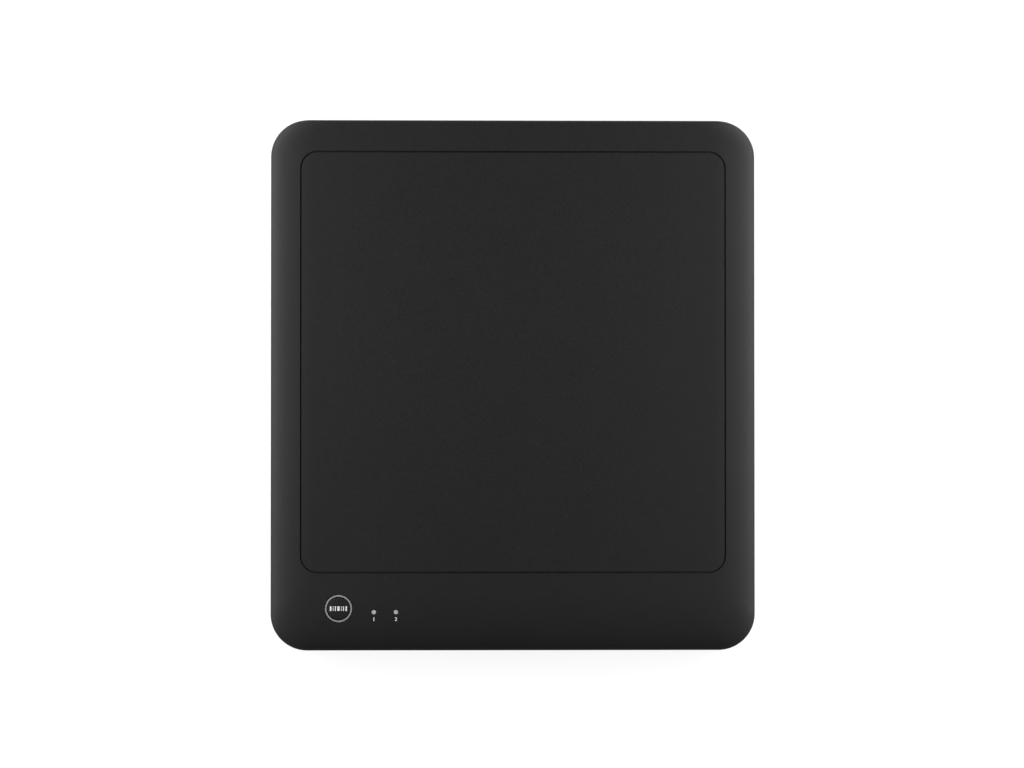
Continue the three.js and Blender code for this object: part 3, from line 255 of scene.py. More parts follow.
class BaseSizes(PropertyGroup):
    """Sizes of the screws, feet, ribs and socket in the base cover."""

    screw_radius: length("Screw radius", 1.45, "Radius of a cover screw's shank")
    screw_hole: length("Screw seat", 3.2, "Depth of the screw holes in the underside")
    screw_point: length("Screw point", 1.6, "Length of a cover screw's blunt point")
    point_flat: share("Point flat", 0.35, "Width of the point's end, as a share of its root")
    thread_pitch: length("Thread pitch", 1.1, "Rise of its thread in one turn")
    thread_root: share("Thread root", 0.78, "Share of the shank's radius inside the thread")
    head_dome: share("Head dome", 0.6, "Share of the screw head's height that is domed")
    head_flat: share("Head flat", 0.3, "Share of the head's radius that is flat")
    cross_depth: length("Cross depth", 1.1, "Depth of the crossed recess in the head")
    cross_reach: share("Cross reach", 0.62, "Share of the head's radius that it takes up")
    cross_width: share("Cross width", 0.13, "Half width of its bars, as such a share")
    cross_taper: share("Cross taper", 0.55, "Size of its floor, as a share of its mouth")
    boss_wall: length("Boss wall", 1.3, "Wall round the sunk screw heads")
    top_boss_wall: length("Top boss wall", 1.9, "Wall of the top cover's screw bosses")
    gusset: length("Gusset", 1.2, "Thickness of the gussets between boss and wall")
    small_screw_radius: length("Small screw radius", 1, "Radius of a board screw's shank")
    small_boss_wall: length("Small boss wall", 1.4, "Wall of the small bosses")
    foot_edge: length("Foot edge", 0.7, "Rounding of a foot's lower edge")
    rib: length("Floor rib", 1, "Thickness of the ribs on the floor")
    rib_height: length("Floor rib height", 1.2, "Height of those ribs")
    bay_wall: length("Bay wall", 1.2, "Wall round the battery cell")
    bay_height: length("Bay height", 2.4, "Height of that wall")
    bay_gap: length("Bay gap", 0.5, "Gap between the cell and its bay")
    bay_slot: length("Bay slot", 6, "Width of the slot for the cell's leads")
    post_inset: length("Post inset", 4, "From the charge board's edges to its posts")
    post_radius: length("Post radius", 2.2, "Radius of the charge board's posts")
    pin_radius: length("Pin radius", 1, "Radius of the pins on those posts")
    pin_head: length("Pin head", 1, "How far those pins stand through the board")
    socket_wall: length("Socket wall", 0.35, "Wall of the charging socket's shell")
    socket_lip: share("Socket lip", 0.35, "Rounding of its mouth, as a share of that wall")
    blade_height: length("Blade height", 0.7, "Thickness of the socket's inner blade")
    blade_root: length("Blade root", 1, "Depth of the root that the blade stands on")
    contact_height: length("Contact height", 0.04, "How far its contacts stand out")


class Finishes(PropertyGroup):
    """Colours of the reader's materials, in linear light."""

    housing: colour("Housing", (0.0102, 0.0102, 0.0102), "Black moulding of covers and key")
    panel: colour("Panel", (0.0098, 0.0098, 0.0098), "Black antenna panel")
    ring: colour("Ring", (0.285, 0.285, 0.3), "Milky light ring")
    milky: colour("Milky", (0.47, 0.47, 0.49), "Light windows")
    ink: colour("Print", (0.86, 0.86, 0.87), "White print")
    rubber: colour("Rubber", (0.012, 0.012, 0.0125), "Feet")
    zinc: colour("Zinc", (0.55, 0.56, 0.58), "Screws")
    tin: colour("Tin", (0.62, 0.63, 0.64), "Socket shell and screening cans")
    floor: colour("Floor", (0.93, 0.93, 0.93), "Pale studio floor")


class StudioSettings(PropertyGroup):
    """Camera, lamps and floor."""

    distance: length("Distance", 1900, "Camera to reader", 500)
    field: length("Field", 561.9, "Width of the view at the reader", 100)
    tilt: lean("Tilt", 0.97, "Camera's lean to the front")
    pan: lean("Pan", 1.36, "Camera's lean to the left")
    aim: place("Aim", (-0.49, 0.72, 14), "Point that the camera looks at")
    side_light: share("Side light", 3.53, "Power of each side lamp, in watts", min=0)
    lamp_place: place("Lamp place", (420, 112, 200), "Right lamp; the left one mirrors it")
    lamp_height: length("Lamp height", 260, "Height of each lamp")
    lamp_length: length("Lamp length", 700, "Length of each lamp")
    fill: share("Fill", 0.1, "Strength of the even light from all round", min=0)
    horizon: share("Horizon", 0.42, "How bright gloss shows the surround near the floor", min=0)
    floor_size: length("Floor size", 40000, "Width of the floor")
    floor_glow: share("Floor glow", 0.87, "White that the floor shows in full shadow", max=1)
    floor_light: share("Floor light", 0.22, "Lamps' light that the camera sees on it", max=1)
    glow_start: length("Glow start", 140, "How far out the floor shows full shadow")
    glow_end: length("Glow end", 460, "How far out it is white to the camera")
    gloss_start: length("Gloss start", 300, "How far out the floor is dark to gloss")
    gloss_end: length("Gloss end", 1200, "How far out it is white to gloss")


SETTINGS = {
    "reader_housing": HousingSizes,
    "reader_panel": PanelSizes,
    "reader_controls": ControlSizes,
    "reader_base": BaseSizes,
    "reader_finishes": Finishes,
    "reader_studio": StudioSettings,
}


def given(group):
    """The sizes or colours that the user gives for one part of the reader."""
    return getattr(bpy.context.scene, "reader_" + group)


class Spot:
    """Where a CAD node stands: the corners of its box, its middle and half its size."""

    def __init__(self, node):
        self.low, self.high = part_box(node)
        self.middle = (self.low + self.high) / 2
        self.half = (self.high - self.low) / 2


def middles(nodes):
    """Middles of some CAD nodes' boxes."""
    return [Spot(node).middle for node in nodes]


# Edit-mode helpers


def activate(piece):
    """Makes a piece the active object and the only one selected."""
    bpy.ops.object.select_all(action="DESELECT")
    piece.select_set(True)
    bpy.context.view_layer.objects.active = piece


@contextmanager
def editing(piece, kind, everything=False):
    """Edit mode on one piece, in which its vertices, edges or faces can be selected."""
    activate(piece)
    bpy.ops.object.mode_set(mode="EDIT")
    bpy.ops.mesh.select_mode(type=kind)
    bpy.ops.mesh.select_all(action="SELECT" if everything else "DESELECT")
    try:
        yield
    finally:
        bpy.ops.object.mode_set(mode="OBJECT")


def pick(piece, kind, test):
    """Selects the vertices, edges or faces of the piece in edit mode that pass a test."""
    mesh = bmesh.from_edit_mesh(piece.data)
    found = 0
    for item in getattr(mesh, kind):
        chosen = test(item)
        item.select_set(chosen)
        found += chosen
    mesh.select_flush_mode()
    bmesh.update_edit_mesh(piece.data)
    if not found:
        raise RuntimeError(f"{piece.name}: nothing to select among its {kind}")


def pick_end(piece, way):
    """Selects the flat face at a piece's upper end, 1, or its lower end, -1."""
    pick(piece, "faces", lambda face: face.normal.z * way > 0.9)


def added(name):
    """Names the primitive just added, and puts its place into its mesh."""
    piece = bpy.context.object
    piece.name = piece.data.name = name
    bpy.ops.object.transform_apply(location=True, rotation=True, scale=True)
    return piece


def block(name, low, high):
    """A block between two corners."""
    bpy.ops.object.select_all(action="DESELECT")
    low, high = Vector(low), Vector(high)
    bpy.ops.mesh.primitive_cube_add(size=1, location=(low + high) / 2, scale=high - low)
    return added(name)


def rounded_block(name, low, high, radius, segments=24, axis=2):
    """A block whose four edges along one axis are rounded."""
    piece = block(name, low, high)
    with editing(piece, "EDGE"):
        pick(piece, "edges", lambda edge: abs((edge.verts[0].co - edge.verts[1].co)[axis]) > HAIR)
        bpy.ops.mesh.bevel(offset=radius, segments=segments, profile=0.5, affect="EDGES")
    return piece


def rod(name, centre, radius, low_z, high_z, sides=32):
    """An upright rod."""
    bpy.ops.object.select_all(action="DESELECT")
    bpy.ops.mesh.primitive_cylinder_add(
        vertices=sides,
        radius=radius,
        depth=high_z - low_z,
        location=(centre.x, centre.y, (low_z + high_z) / 2),
    )
    return added(name)


def turned(name, centre, profile, sides=64):
    """A turned piece. Its first disc is drawn out along a profile of (radius, height)."""
    bpy.ops.object.select_all(action="DESELECT")
    radius, height = profile[0]
    bpy.ops.mesh.primitive_circle_add(
        vertices=sides, radius=radius, fill_type="NGON", location=(centre.x, centre.y, height)
    )
    piece = added(name)
    with editing(piece, "FACE", everything=True):
        for next_radius, next_height in profile[1:]:
            rise = (0, 0, next_height - height)
            bpy.ops.mesh.extrude_region_move(TRANSFORM_OT_translate={"value": rise})
            grow = next_radius / radius
            middle = (centre.x, centre.y, next_height)
            bpy.ops.transform.resize(value=(grow, grow, 1), center_override=middle)
            radius, height = next_radius, next_height
        bpy.ops.mesh.select_all(action="SELECT")
        bpy.ops.mesh.normals_make_consistent(inside=False)
    return piece


def arc(radius, height, bend, start, end, steps=5):
    """Points of a round edge for a profile: its centre, its bend and its angles in degrees."""
    angles = [math.radians(start + (end - start) * step / steps) for step in range(steps + 1)]
    return [(radius + bend * math.cos(angle), height + bend * math.sin(angle)) for angle in angles]


def copied(piece, move):
    """A copy of a piece with its own mesh, which a matrix moves."""
    copy = piece.copy()
    copy.data = piece.data.copy()
    copy.data.transform(move)
    bpy.context.collection.objects.link(copy)
    return copy


def spread(piece, points):
    """A piece made at the first of some points, and its copies at the others."""
    return [piece, *(copied(piece, Matrix.Translation(point - points[0])) for point in points[1:])]


def rods(name, points, radius, low_z, high_z, sides=32):
    """Upright rods of one size at some points."""
    return spread(rod(name, points[0], radius, low_z, high_z, sides), points)


def merged(pieces, name):
    """Joins pieces that don't touch into one object."""
    bpy.ops.object.select_all(action="DESELECT")
    for piece in pieces:
        piece.select_set(True)
    bpy.context.view_layer.objects.active = pieces[0]
    if len(pieces) > 1:
        bpy.ops.object.join()
    pieces[0].name = pieces[0].data.name = name
    return pieces[0]


def apply_modifier(piece, kind, **settings):
    """Adds a modifier to a piece and applies it."""
    activate(piece)
    bpy.ops.object.modifier_add(type=kind)
    modifier = piece.modifiers[-1]
    for key, value in settings.items():
        setattr(modifier, key, value)
    bpy.ops.object.modifier_apply(modifier=modifier.name)


def combine(operation, piece, others):
    """Combines a piece with others, which don't touch each other and are used up."""
    other = merged(others, "tool")
    apply_modifier(piece, "BOOLEAN", operation=operation, object=other, solver="EXACT")
    bpy.data.objects.remove(other, do_unlink=True)


def cut(piece, *others):
    """Cuts others out of a piece."""
    combine("DIFFERENCE", piece, others)


def weld(piece, *others):
    """Adds others to a piece."""
    combine("UNION", piece, others)


def weld_ribs(piece, corner, opposite, count, width, low_z, high_z):
    """Adds a grid of ribs that fills the rectangle between two corners."""
    for across in (1, 0):
        low, high = Vector((*corner[:2], low_z)), Vector((*opposite[:2], high_z))
        step = Vector((0, 0, 0))
        step[across] = (high[across] - low[across]) / (count - 1)
        high[across] = low[across] + width / 2
        low[across] -= width / 2
        rib = block("rib", low, high)
        weld(piece, *spread(rib, [step * number for number in range(count)]))


def soften(piece, test, width, segments=3):
    """Rounds the sharp edges of a piece that have both their ends where a test holds."""

    def sharp(edge):
        if len(edge.link_faces) != 2 or edge.calc_face_angle(0) < QUARTER / 2:
            return False
        return all(test(vert.co) for vert in edge.verts)

    with editing(piece, "EDGE", everything=True):
        bpy.ops.mesh.remove_doubles(threshold=HAIR)
        pick(piece, "edges", sharp)
        bpy.ops.mesh.bevel(
            offset=width, segments=segments, profile=0.5, affect="EDGES", clamp_overlap=True
        )


def crown(start, end, shrink, height, steps, bends=(1, 1, 1, 1)):
    """Draws the selected flat end out along a quarter ellipse.

    start and end are the end's plan before and after, as (low x, low y, high x, high y), shrink
    is how much its corners' radius falls on the way, and a bend over 1 makes a side squarer.
    """
    before, run, rise = start, 0, 0
    for step in range(1, steps + 1):
        turn = step / steps * QUARTER
        next_run, next_rise = 1 - math.cos(turn), math.sin(turn)
        inset = shrink * (next_run - run)
        bpy.ops.mesh.inset(thickness=inset, depth=height * (next_rise - rise))
        inner = (before[0] + inset, before[1] + inset, before[2] - inset, before[3] - inset)
        after = [a + (b - a) * next_run**bend for a, b, bend in zip(start, end, bends)]
        sides = [(inner[way], inner[way + 2], after[way], after[way + 2]) for way in (0, 1)]
        grow = [(high - low) / (old_high - old_low) for old_low, old_high, low, high in sides]
        middle = [(old_low + old_high) / 2 for old_low, old_high, _, _ in sides]
        shift = [(low + high) / 2 - old for old, (_, _, low, high) in zip(middle, sides)]
        bpy.ops.transform.resize(value=(*grow, 1), center_override=(*middle, 0))
        bpy.ops.transform.translate(value=(*shift, 0))
        before, run, rise = after, next_run, next_rise


def finished(piece, slot, *nodes, body="housing", finish=None, angle=35):
    """Smooths a piece, gives it its finish and sets it on its body in place of CAD nodes."""
    with editing(piece, "VERT", everything=True):
        bpy.ops.mesh.remove_doubles(threshold=HAIR)
        bpy.ops.mesh.dissolve_degenerate(threshold=HAIR)
        bpy.ops.mesh.select_all(action="SELECT")
        bpy.ops.mesh.normals_make_consistent(inside=False)
    bpy.ops.object.shade_smooth_by_angle(angle=math.radians(angle))
    apply_modifier(piece, "WEIGHTED_NORMAL", keep_sharp=True, weight=80)
    piece.data.materials.clear()
    piece.data.materials.append(material_of(finish or slot))
    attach(piece, body)
    if nodes:
        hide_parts(*nodes)


def finished_alike(piece, ending, slot, nodes):
    """Copies a piece made at the first of some like nodes to the others, and finishes all."""
    for copy, node in zip(spread(piece, middles(nodes)), nodes):
        copy.name = copy.data.name = node + ending
        finished(copy, slot, node)


# Shapes that several pieces share


def plan(inset):
    """The housing's plan rectangle, drawn in: (low x, low y, high x, high y)."""
    return (LOW.x + inset, LOW.y + inset, HIGH.x - inset, HIGH.y - inset)


def plan_block(name, inset, low_z, high_z):
    """A block with the housing's plan, drawn in by an inset."""
    low_x, low_y, high_x, high_y = plan(inset)
    radius = given("housing").corner_radius - inset
    return rounded_block(name, (low_x, low_y, low_z), (high_x, high_y, high_z), radius)


def crowned(name, inset, low_z, sink=0):
    """A block with the top cover's plan and crown, drawn in by an inset and down by a sink."""
    housing = given("housing")
    piece = plan_block(name, inset, low_z, TOP - housing.crown_height)
    end = (
        LOW.x + housing.side_crown,
        LOW.y + housing.front_crown,
        HIGH.x - housing.side_crown,
        HIGH.y - housing.rear_crown,
    )
    shrink = housing.corner_shrink * (housing.corner_radius - inset) / housing.corner_radius
    height = housing.crown_height - sink
    with editing(piece, "FACE"):
        pick_end(piece, 1)
        crown(plan(inset), end, shrink, height, 24, (1, 1, 1, housing.rear_bend))
    return piece


def trim_to_crown(piece, sink):
    """Cuts a piece off along the top cover's surface, or so far under it."""
    combine("INTERSECT", piece, [crowned("surface", 0, -OVERRUN, sink)])


def grown(node, grow, low_z, high_z):
    """Two corners of a block with a CAD node's plan, grown all round, between two heights."""
    low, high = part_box(node)
    return (low.x - grow, low.y - grow, low_z), (high.x + grow, high.y + grow, high_z)


def panel_block(name, grow, low_z, high_z, corner=None):
    """A block with the antenna panel's plan, grown all round."""
    radius = corner or given("panel").corner + grow
    return rounded_block(name, *grown("antenna_panel", grow, low_z, high_z), radius)


def flange_heights():
    """Low and high side of the flanges that lie under the roof."""
    controls = given("controls")
    top = given("housing").roof_z - controls.fit
    return top - controls.flange_height, top


# Materials


def add_node(tree, kind, inputs=(), **settings):
    """Adds a shader node. Its inputs are given as values or as sockets to link."""
    node = tree.nodes.new("ShaderNode" + kind)
    for key, value in settings.items():
        setattr(node, key, value)
    for key, value in dict(inputs).items():
        if isinstance(value, NodeSocket):
            tree.links.new(value, node.inputs[key])
        else:
            node.inputs[key].default_value = value
    return node


def combined(tree, operation, first, second):
    """Two values combined by a plain sum, product or choice."""
    return add_node(tree, "Math", {0: first, 1: second}, operation=operation).outputs[0]


def shiny_rays(tree):
    """One for rays that a shiny or clear surface sends on."""
    path = add_node(tree, "LightPath").outputs
    return combined(tree, "MAXIMUM", path["Is Glossy Ray"], path["Is Transmission Ray"])


class Finish:
    """A material under construction: its shader, values set on it and nodes that feed it."""

    def __init__(self, name, sockets=()):
        found = bpy.data.materials.get(name)
        if found:
            bpy.data.materials.remove(found)
        self.material = bpy.data.materials.new(name)
        self.material.use_nodes = True
        self.tree = self.material.node_tree
        self.shader = self.tree.nodes["Principled BSDF"]
        for socket, value in dict(sockets).items():
            self.shader.inputs[socket].default_value = value
        self.place = self.add("TexCoord").outputs["Object"]

    def add(self, kind, inputs=(), **settings):
        """Adds a node to this material."""
        return add_node(self.tree, kind, inputs, **settings)

    def feed(self, socket, value):
        """Links a value to one of the shader's sockets."""
        self.tree.links.new(value, self.shader.inputs[socket])

    def noise(self, scale, detail=2, stretch=(1, 1, 1)):
        """Noise with so many features to the metre."""
        spot = self.add("Mapping", {"Vector": self.place, "Scale": stretch}).outputs["Vector"]
        inputs = {"Vector": spot, "Scale": scale, "Detail": detail, "Roughness": 0.6}
        return self.add("TexNoise", inputs).outputs["Fac"]

    def between(self, value, low, high, start=0.3, end=0.7):
        """A value spread over a range."""
        inputs = {"Value": value, "From Min": start, "From Max": end, "To Min": low, "To Max": high}
        return self.add("MapRange", inputs).outputs["Result"]

    def mix(self, factor, *colours):
        """A colour between two colours."""
        first, second = [
            value if isinstance(value, NodeSocket) else (*value, 1) for value in colours
        ]
        return self.add("Mix", {0: factor, 6: first, 7: second}, data_type="RGBA").outputs[2]

    def colour(self, base, factor, *casts):
        """Feeds the base colour, between a darker and a lighter cast of itself."""
        shades = [tuple(min(1, part * cast) for part in base) for cast in casts]
        self.feed("Base Color", self.mix(factor, *shades))

    def relief(self, height, depth):
        """Feeds the normal with a relief of a depth in millimetres."""
        bump = self.add("Bump", {"Height": height, "Distance": depth * MM, "Strength": 1})
        self.feed("Normal", bump.outputs["Normal"])


def moulded(name, base, depth):
    """Black plastic from a spark-eroded mould: a fine even grain over a barely uneven tone."""
    finish = Finish(name, {"Specular IOR Level": 0.31})
    pits = finish.noise(1150, 3)
    cloud = finish.noise(40, 3)
    tone = combined(finish.tree, "ADD", combined(finish.tree, "MULTIPLY", cloud, 0.3), pits)
    finish.colour(base, finish.between(tone, 0, 1, 0.42, 0.88), 0.83, 1.17)
    finish.feed("Roughness", finish.between(pits, 0.55, 0.67))
    finish.relief(pits, depth)
    return finish.material


def milky(name, base):
    """Frosted light guide: cloudy through and a little glossy."""
    sockets = {
        "Subsurface Weight": 0.2,
        "Subsurface Scale": 0.6 * MM,
        "Specular IOR Level": 0.4,
        "Coat Weight": 0.1,
    }
    finish = Finish(name, sockets)
    cloud = finish.noise(900, 4)
    finish.colour(base, finish.between(cloud, 0, 1), 0.93, 1.05)
    finish.feed("Roughness", finish.between(finish.noise(4000), 0.34, 0.46))
    finish.relief(cloud, 0.004)
    return finish.material


def ink(name, base):
    """White pad print, a little thin in places."""
    finish = Finish(name, {"Specular IOR Level": 0.3})
    speckle = finish.noise(6000, 3)
    finish.colour(base, finish.between(speckle, 0, 1), 0.9, 1.03)
    finish.feed("Roughness", finish.between(speckle, 0.5, 0.65))
    finish.relief(speckle, 0.003)
    return finish.material


def rubber(name, base):
    """Moulded rubber with dull specks of dust."""
    finish = Finish(name, {"Specular IOR Level": 0.25})
    dust = finish.noise(1800, 5)
    finish.colour(base, finish.between(dust, 0, 1, 0.55, 0.75), 0.95, 2.2)
    finish.feed("Roughness", finish.between(dust, 0.78, 0.95))
    finish.relief(finish.noise(3000, 3), 0.02)
    return finish.material


def metal(name, base, roughness, stretch=1):
    """Plated or rolled metal, with fine marks drawn out along one way."""
    finish = Finish(name, {"Metallic": 1})
    marks = finish.noise(2500, 4, (1, stretch, 1))
    finish.colour(base, finish.between(finish.noise(150, 4), 0, 1), 0.9, 1.04)
    finish.feed("Roughness", finish.between(marks, roughness - 0.06, roughness + 0.06))
    finish.relief(marks, 0.003)
    return finish.material


def board(name):
    """Green solder mask over copper tracks, with bare pads between them."""
    finish = Finish(name, {"Coat Weight": 0.3, "Coat Roughness": 0.25})
    rows = {"Scale": 260, "Mortar Size": 0.09, "Brick Width": 1.4, "Row Height": 0.4}
    tracks = finish.add("TexBrick", {"Vector": finish.place, **rows}).outputs["Fac"]
    pads = finish.add("TexVoronoi", {"Vector": finish.place, "Scale": 420}).outputs["Distance"]
    bare = finish.between(pads, 1, 0, 0.05, 0.08)
    mask = finish.mix(tracks, (0.008, 0.09, 0.035), (0.02, 0.17, 0.07))
    finish.feed("Base Color", finish.mix(bare, mask, (0.75, 0.6, 0.32)))
    finish.feed("Roughness", finish.between(finish.noise(800), 0.3, 0.42))
    finish.relief(tracks, 0.02)
    return finish.material


def plain(name, base, roughness, speckle=0.1, scale=1200):
    """Small moulded or cast piece: chips, nylon, wire and resin."""
    finish = Finish(name, {"Specular IOR Level": 0.45})
    grain = finish.noise(scale, 4)
    finish.colour(base, finish.between(grain, 0, 1), 1 - speckle, 1 + speckle)
    finish.feed("Roughness", finish.between(grain, roughness - 0.06, roughness + 0.08))
    finish.relief(grain, 0.01)
    return finish.material


def ribbon(name):
    """Flat ribbon: pale film over bright conductors."""
    finish = Finish(name, {"Coat Weight": 0.4, "Coat Roughness": 0.2})
    inputs = {"Vector": finish.place, "Scale": 320, "Distortion": 0}
    waves = finish.add("TexWave", inputs).outputs["Fac"]
    finish.feed("Base Color", finish.mix(waves, (0.42, 0.43, 0.46), (0.74, 0.75, 0.77)))
    finish.feed("Roughness", finish.between(finish.noise(900), 0.3, 0.45))
    finish.relief(waves, 0.03)
    return finish.material


def pouch(name):
    """Laminated foil, softly dented."""
    finish = Finish(name, {"Metallic": 0.8})
    dents = finish.noise(120, 5)
    finish.colour((0.5, 0.51, 0.53), finish.between(dents, 0, 1), 0.88, 1.06)
    finish.feed("Roughness", finish.between(finish.noise(1500, 3), 0.28, 0.42))
    finish.relief(dents, 0.25)
    return finish.material


def all_materials():
    """A material for each of the record's slots, and for the ring and the print."""
    tones = given("finishes")
    return {
        "housing": moulded("moulded_black", tones.housing, 0.02),
        "panel": moulded("panel_black", tones.panel, 0.022),
        "milky": milky("milky_guide", tones.milky),
        "ring": milky("milky_ring", tones.ring),
        "ink": ink("white_print", tones.ink),
        "rubber": rubber("foot_rubber", tones.rubber),
        "screw_steel": metal("zinc_plate", tones.zinc, 0.32),
        "tinned_steel": metal("tin_plate", tones.tin, 0.28, 12),
        "aluminium": metal("rolled_aluminium", (0.75, 0.76, 0.77), 0.36, 30),
        "brass": metal("gold_flash", (0.78, 0.57, 0.22), 0.24),
        "circuit_board": board("circuit_board"),
        "chip": plain("moulded_epoxy", (0.018, 0.018, 0.019), 0.5, 0.2, 3000),
        "nylon": plain("natural_nylon", (0.72, 0.71, 0.66), 0.45, 0.04),
        "ribbon": ribbon("ribbon_film"),
        "pouch": pouch("foil_pouch"),
        "red_wire": plain("red_insulation", (0.42, 0.02, 0.015), 0.42),
        "black_wire": plain("black_insulation", (0.012, 0.012, 0.013), 0.45, 0.2),
        "light_chip": plain("cast_resin", (0.8, 0.78, 0.62), 0.3, 0.04),
    }


def material_of(slot):
    """The material of a slot, made with all the others when the first is asked for."""
    scene = bpy.context.scene
    if "material_names" not in scene:
        scene["material_names"] = {key: made.name for key, made in all_materials().items()}
    return bpy.data.materials[scene["material_names"][slot]]


# Pieces


class READER_OT_top_cover(Operator):
    """Moulds the crowned top cover, with its panel recess, ledge, bosses and stepped holes"""

    bl_idname = "reader.top_cover"
    bl_label = "Top cover"

    def execute(self, context):
        housing, fit = given("housing"), given("controls").fit
        low_z = housing.seam_height + housing.seam_gap
        cover = crowned("top_cover_moulding", 0, low_z)
        cut(cover, crowned("hollow", housing.wall, low_z - OVERRUN, housing.roof_wall))
        inset = housing.wall - housing.lip_wall - fit
        cut(cover, plan_block("rebate", inset, low_z - OVERRUN, housing.tongue_z + fit))

        panel = given("panel")
        ledge_z = TOP - panel.thickness - fit
        under_z = ledge_z - panel.ledge_thickness
        grow = panel.recess + panel.recess_wall
        weld(cover, panel_block("frame", grow, under_z, housing.mid_roof_z))
        weld(cover, *self.collars())
        weld(cover, *self.gussets())
        weld(cover, *self.bosses())
        above = TOP + OVERRUN
        cut(cover, panel_block("recess", panel.recess, ledge_z, above))
        window = panel_block("window", -panel.ledge_width, under_z - OVERRUN, above, panel.corner / 2)
        cut(cover, window)
        cut(cover, *self.holes(mouths=True))
        cut(cover, *self.holes(mouths=False))
        self.soften_edges(cover, low_z)
        finished(cover, "housing", "top_cover")
        return {"FINISHED"}

    def openings(self):
        """The ring and the light pipes, each with its flange's reach and the gap round its top."""
        controls = given("controls")
        ring = (Spot("scan_light_ring"), controls.ring_reach, controls.trim)
        pipes = [(Spot(node), controls.pipe_reach, controls.pipe_trim) for node in LIGHT_PIPES]
        return [ring, *pipes]

    def collars(self):
        """Collars under the roof, round the ring and the light pipes."""
        housing, controls = given("housing"), given("controls")
        low_z = housing.roof_z - controls.collar_height
        wide = controls.fit + controls.collar_wall
        return [
            rod("collar", spot.middle, spot.half.x + wide, low_z, housing.mid_roof_z, 64)
            for spot, _, _ in self.openings()
        ]

    def holes(self, mouths):
        """The narrow mouths in the roof, or the wider spaces for the flanges below it."""
        roof_z, controls = given("housing").roof_z, given("controls")
        low_z = roof_z - controls.collar_height - OVERRUN
        top_z = TOP + OVERRUN if mouths else roof_z
        made = []
        for spot, reach, gap in self.openings():
            radius = spot.half.x + (gap - reach if mouths else controls.fit)
            made.append(rod("hole", spot.middle, radius, low_z, top_z, 96))
        return made

    def bosses(self):
        """Screw bosses that hang from the roof, with their pilot holes."""
        base, fit = given("base"), given("controls").fit
        spot = Spot(COVER_SCREWS[0])
        low_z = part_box("top_cover")[0].z
        hole = base.screw_radius + fit
        wide = hole + base.top_boss_wall
        boss = rod("boss", spot.middle, wide, low_z, given("housing").roof_z)
        cut(boss, rod("pilot", spot.middle, hole, low_z - OVERRUN, spot.high.z + fit))
        return spread(boss, middles(COVER_SCREWS))

    def gussets(self):
        """Gussets from the bosses to the side walls, each as long as its boss stands off."""
        housing, base = given("housing"), given("base")
        low_z = housing.tongue_z + housing.lip_wall
        high_z = TOP - housing.crown_height + housing.roof_wall / 3
        made = []
        for middle in middles(COVER_SCREWS):
            side = math.copysign(1, middle.x)
            inner = middle.x + side * (base.screw_radius + base.top_boss_wall / 2)
            outer = side * (HIGH.x - housing.wall / 2)
            low_x, high_x = sorted((inner, outer))
            low = (low_x, middle.y - base.gusset / 2, low_z)
            made.append(block("gusset", low, (high_x, middle.y + base.gusset / 2, high_z)))
        return made

    def soften_edges(self, cover, low_z):
        """Rounds the recess's lip, the holes' mouths and the lower rim."""
        housing, panel = given("housing"), given("panel")
        spot = Spot("antenna_panel")
        reach = panel.recess + HAIR

        def by_panel(point):
            away = point - spot.middle
            return abs(away.x) < spot.half.x + reach and abs(away.y) < spot.half.y + reach

        def at_lip(point):
            return point.z > TOP - panel.step_depth and by_panel(point)

        def at_mouth(point):
            return point.z > housing.mid_roof_z and not by_panel(point)

        soften(cover, at_lip, panel.lip_round)
        soften(cover, at_mouth, given("controls").slack, 2)
        soften(cover, lambda point: abs(point.z - low_z) < HAIR, housing.softness, 2)


class READER_OT_antenna_panel(Operator):
    """Moulds the antenna panel, with its ribs and snap hooks underneath"""

    bl_idname = "reader.antenna_panel"
    bl_label = "Antenna panel"

    def execute(self, context):
        panel = given("panel")
        spot = Spot("antenna_panel")
        plate_z = TOP - panel.thickness
        middle_z = TOP - panel.thickness / 2
        step_z = TOP - panel.step_depth
        plate = panel_block("antenna_panel_plate", panel.spread, plate_z, TOP + OVERRUN)
        trim_to_crown(plate, 0)
        soften(plate, lambda point: point.z > step_z, panel.edge_round, 4)
        weld(plate, panel_block("step", panel.spread + panel.step_width, plate_z, step_z))
        reach = spot.half * panel.rib_spread
        corners = (spot.middle - reach, spot.middle + reach)
        rib_z = plate_z - panel.rib_height
        weld_ribs(plate, *corners, panel.ribs, panel.rib, rib_z, middle_z)
        weld(plate, *self.hooks(spot, plate_z, middle_z))
        finished(plate, "panel", "antenna_panel")
        return {"FINISHED"}

    def hooks(self, spot, plate_z, high_z):
        """Three snap hooks at each side, modelled once and copied round the panel."""
        panel, fit = given("panel"), given("controls").fit
        catch_z = plate_z - panel.ledge_thickness - 2 * fit
        foot_z = catch_z - panel.hook_tip
        wall, half = panel.hook_wall, panel.hook_width / 2
        hook = block("hook", (-wall, -half, foot_z), (0, half, high_z))
        # The catch is a little narrower than the hook, so that no faces share a plane.
        inner = half * 0.98
        catch = block("catch", (-wall / 2, -inner, foot_z), (wall, inner, catch_z))
        with editing(catch, "VERT"):
            pick(catch, "verts", lambda vert: vert.co.x > HAIR and vert.co.z < foot_z + HAIR)
            bpy.ops.transform.translate(value=(HAIR - wall, 0, 0))
        weld(hook, catch)

        centre = Matrix.Translation((spot.middle.x, spot.middle.y, 0))
        reach = [half_side - panel.ledge_width - fit for half_side in spot.half.xy]
        made = []
        for quarter in range(4):
            turn = Matrix.Rotation(quarter * QUARTER, 4, "Z")
            out, side = reach[quarter % 2], reach[1 - quarter % 2]
            for along in (-panel.hook_spread, 0, panel.hook_spread):
                move = centre @ turn @ Matrix.Translation((out, side * along, 0))
                made.append(copied(hook, move))
        bpy.data.objects.remove(hook, do_unlink=True)
        return made


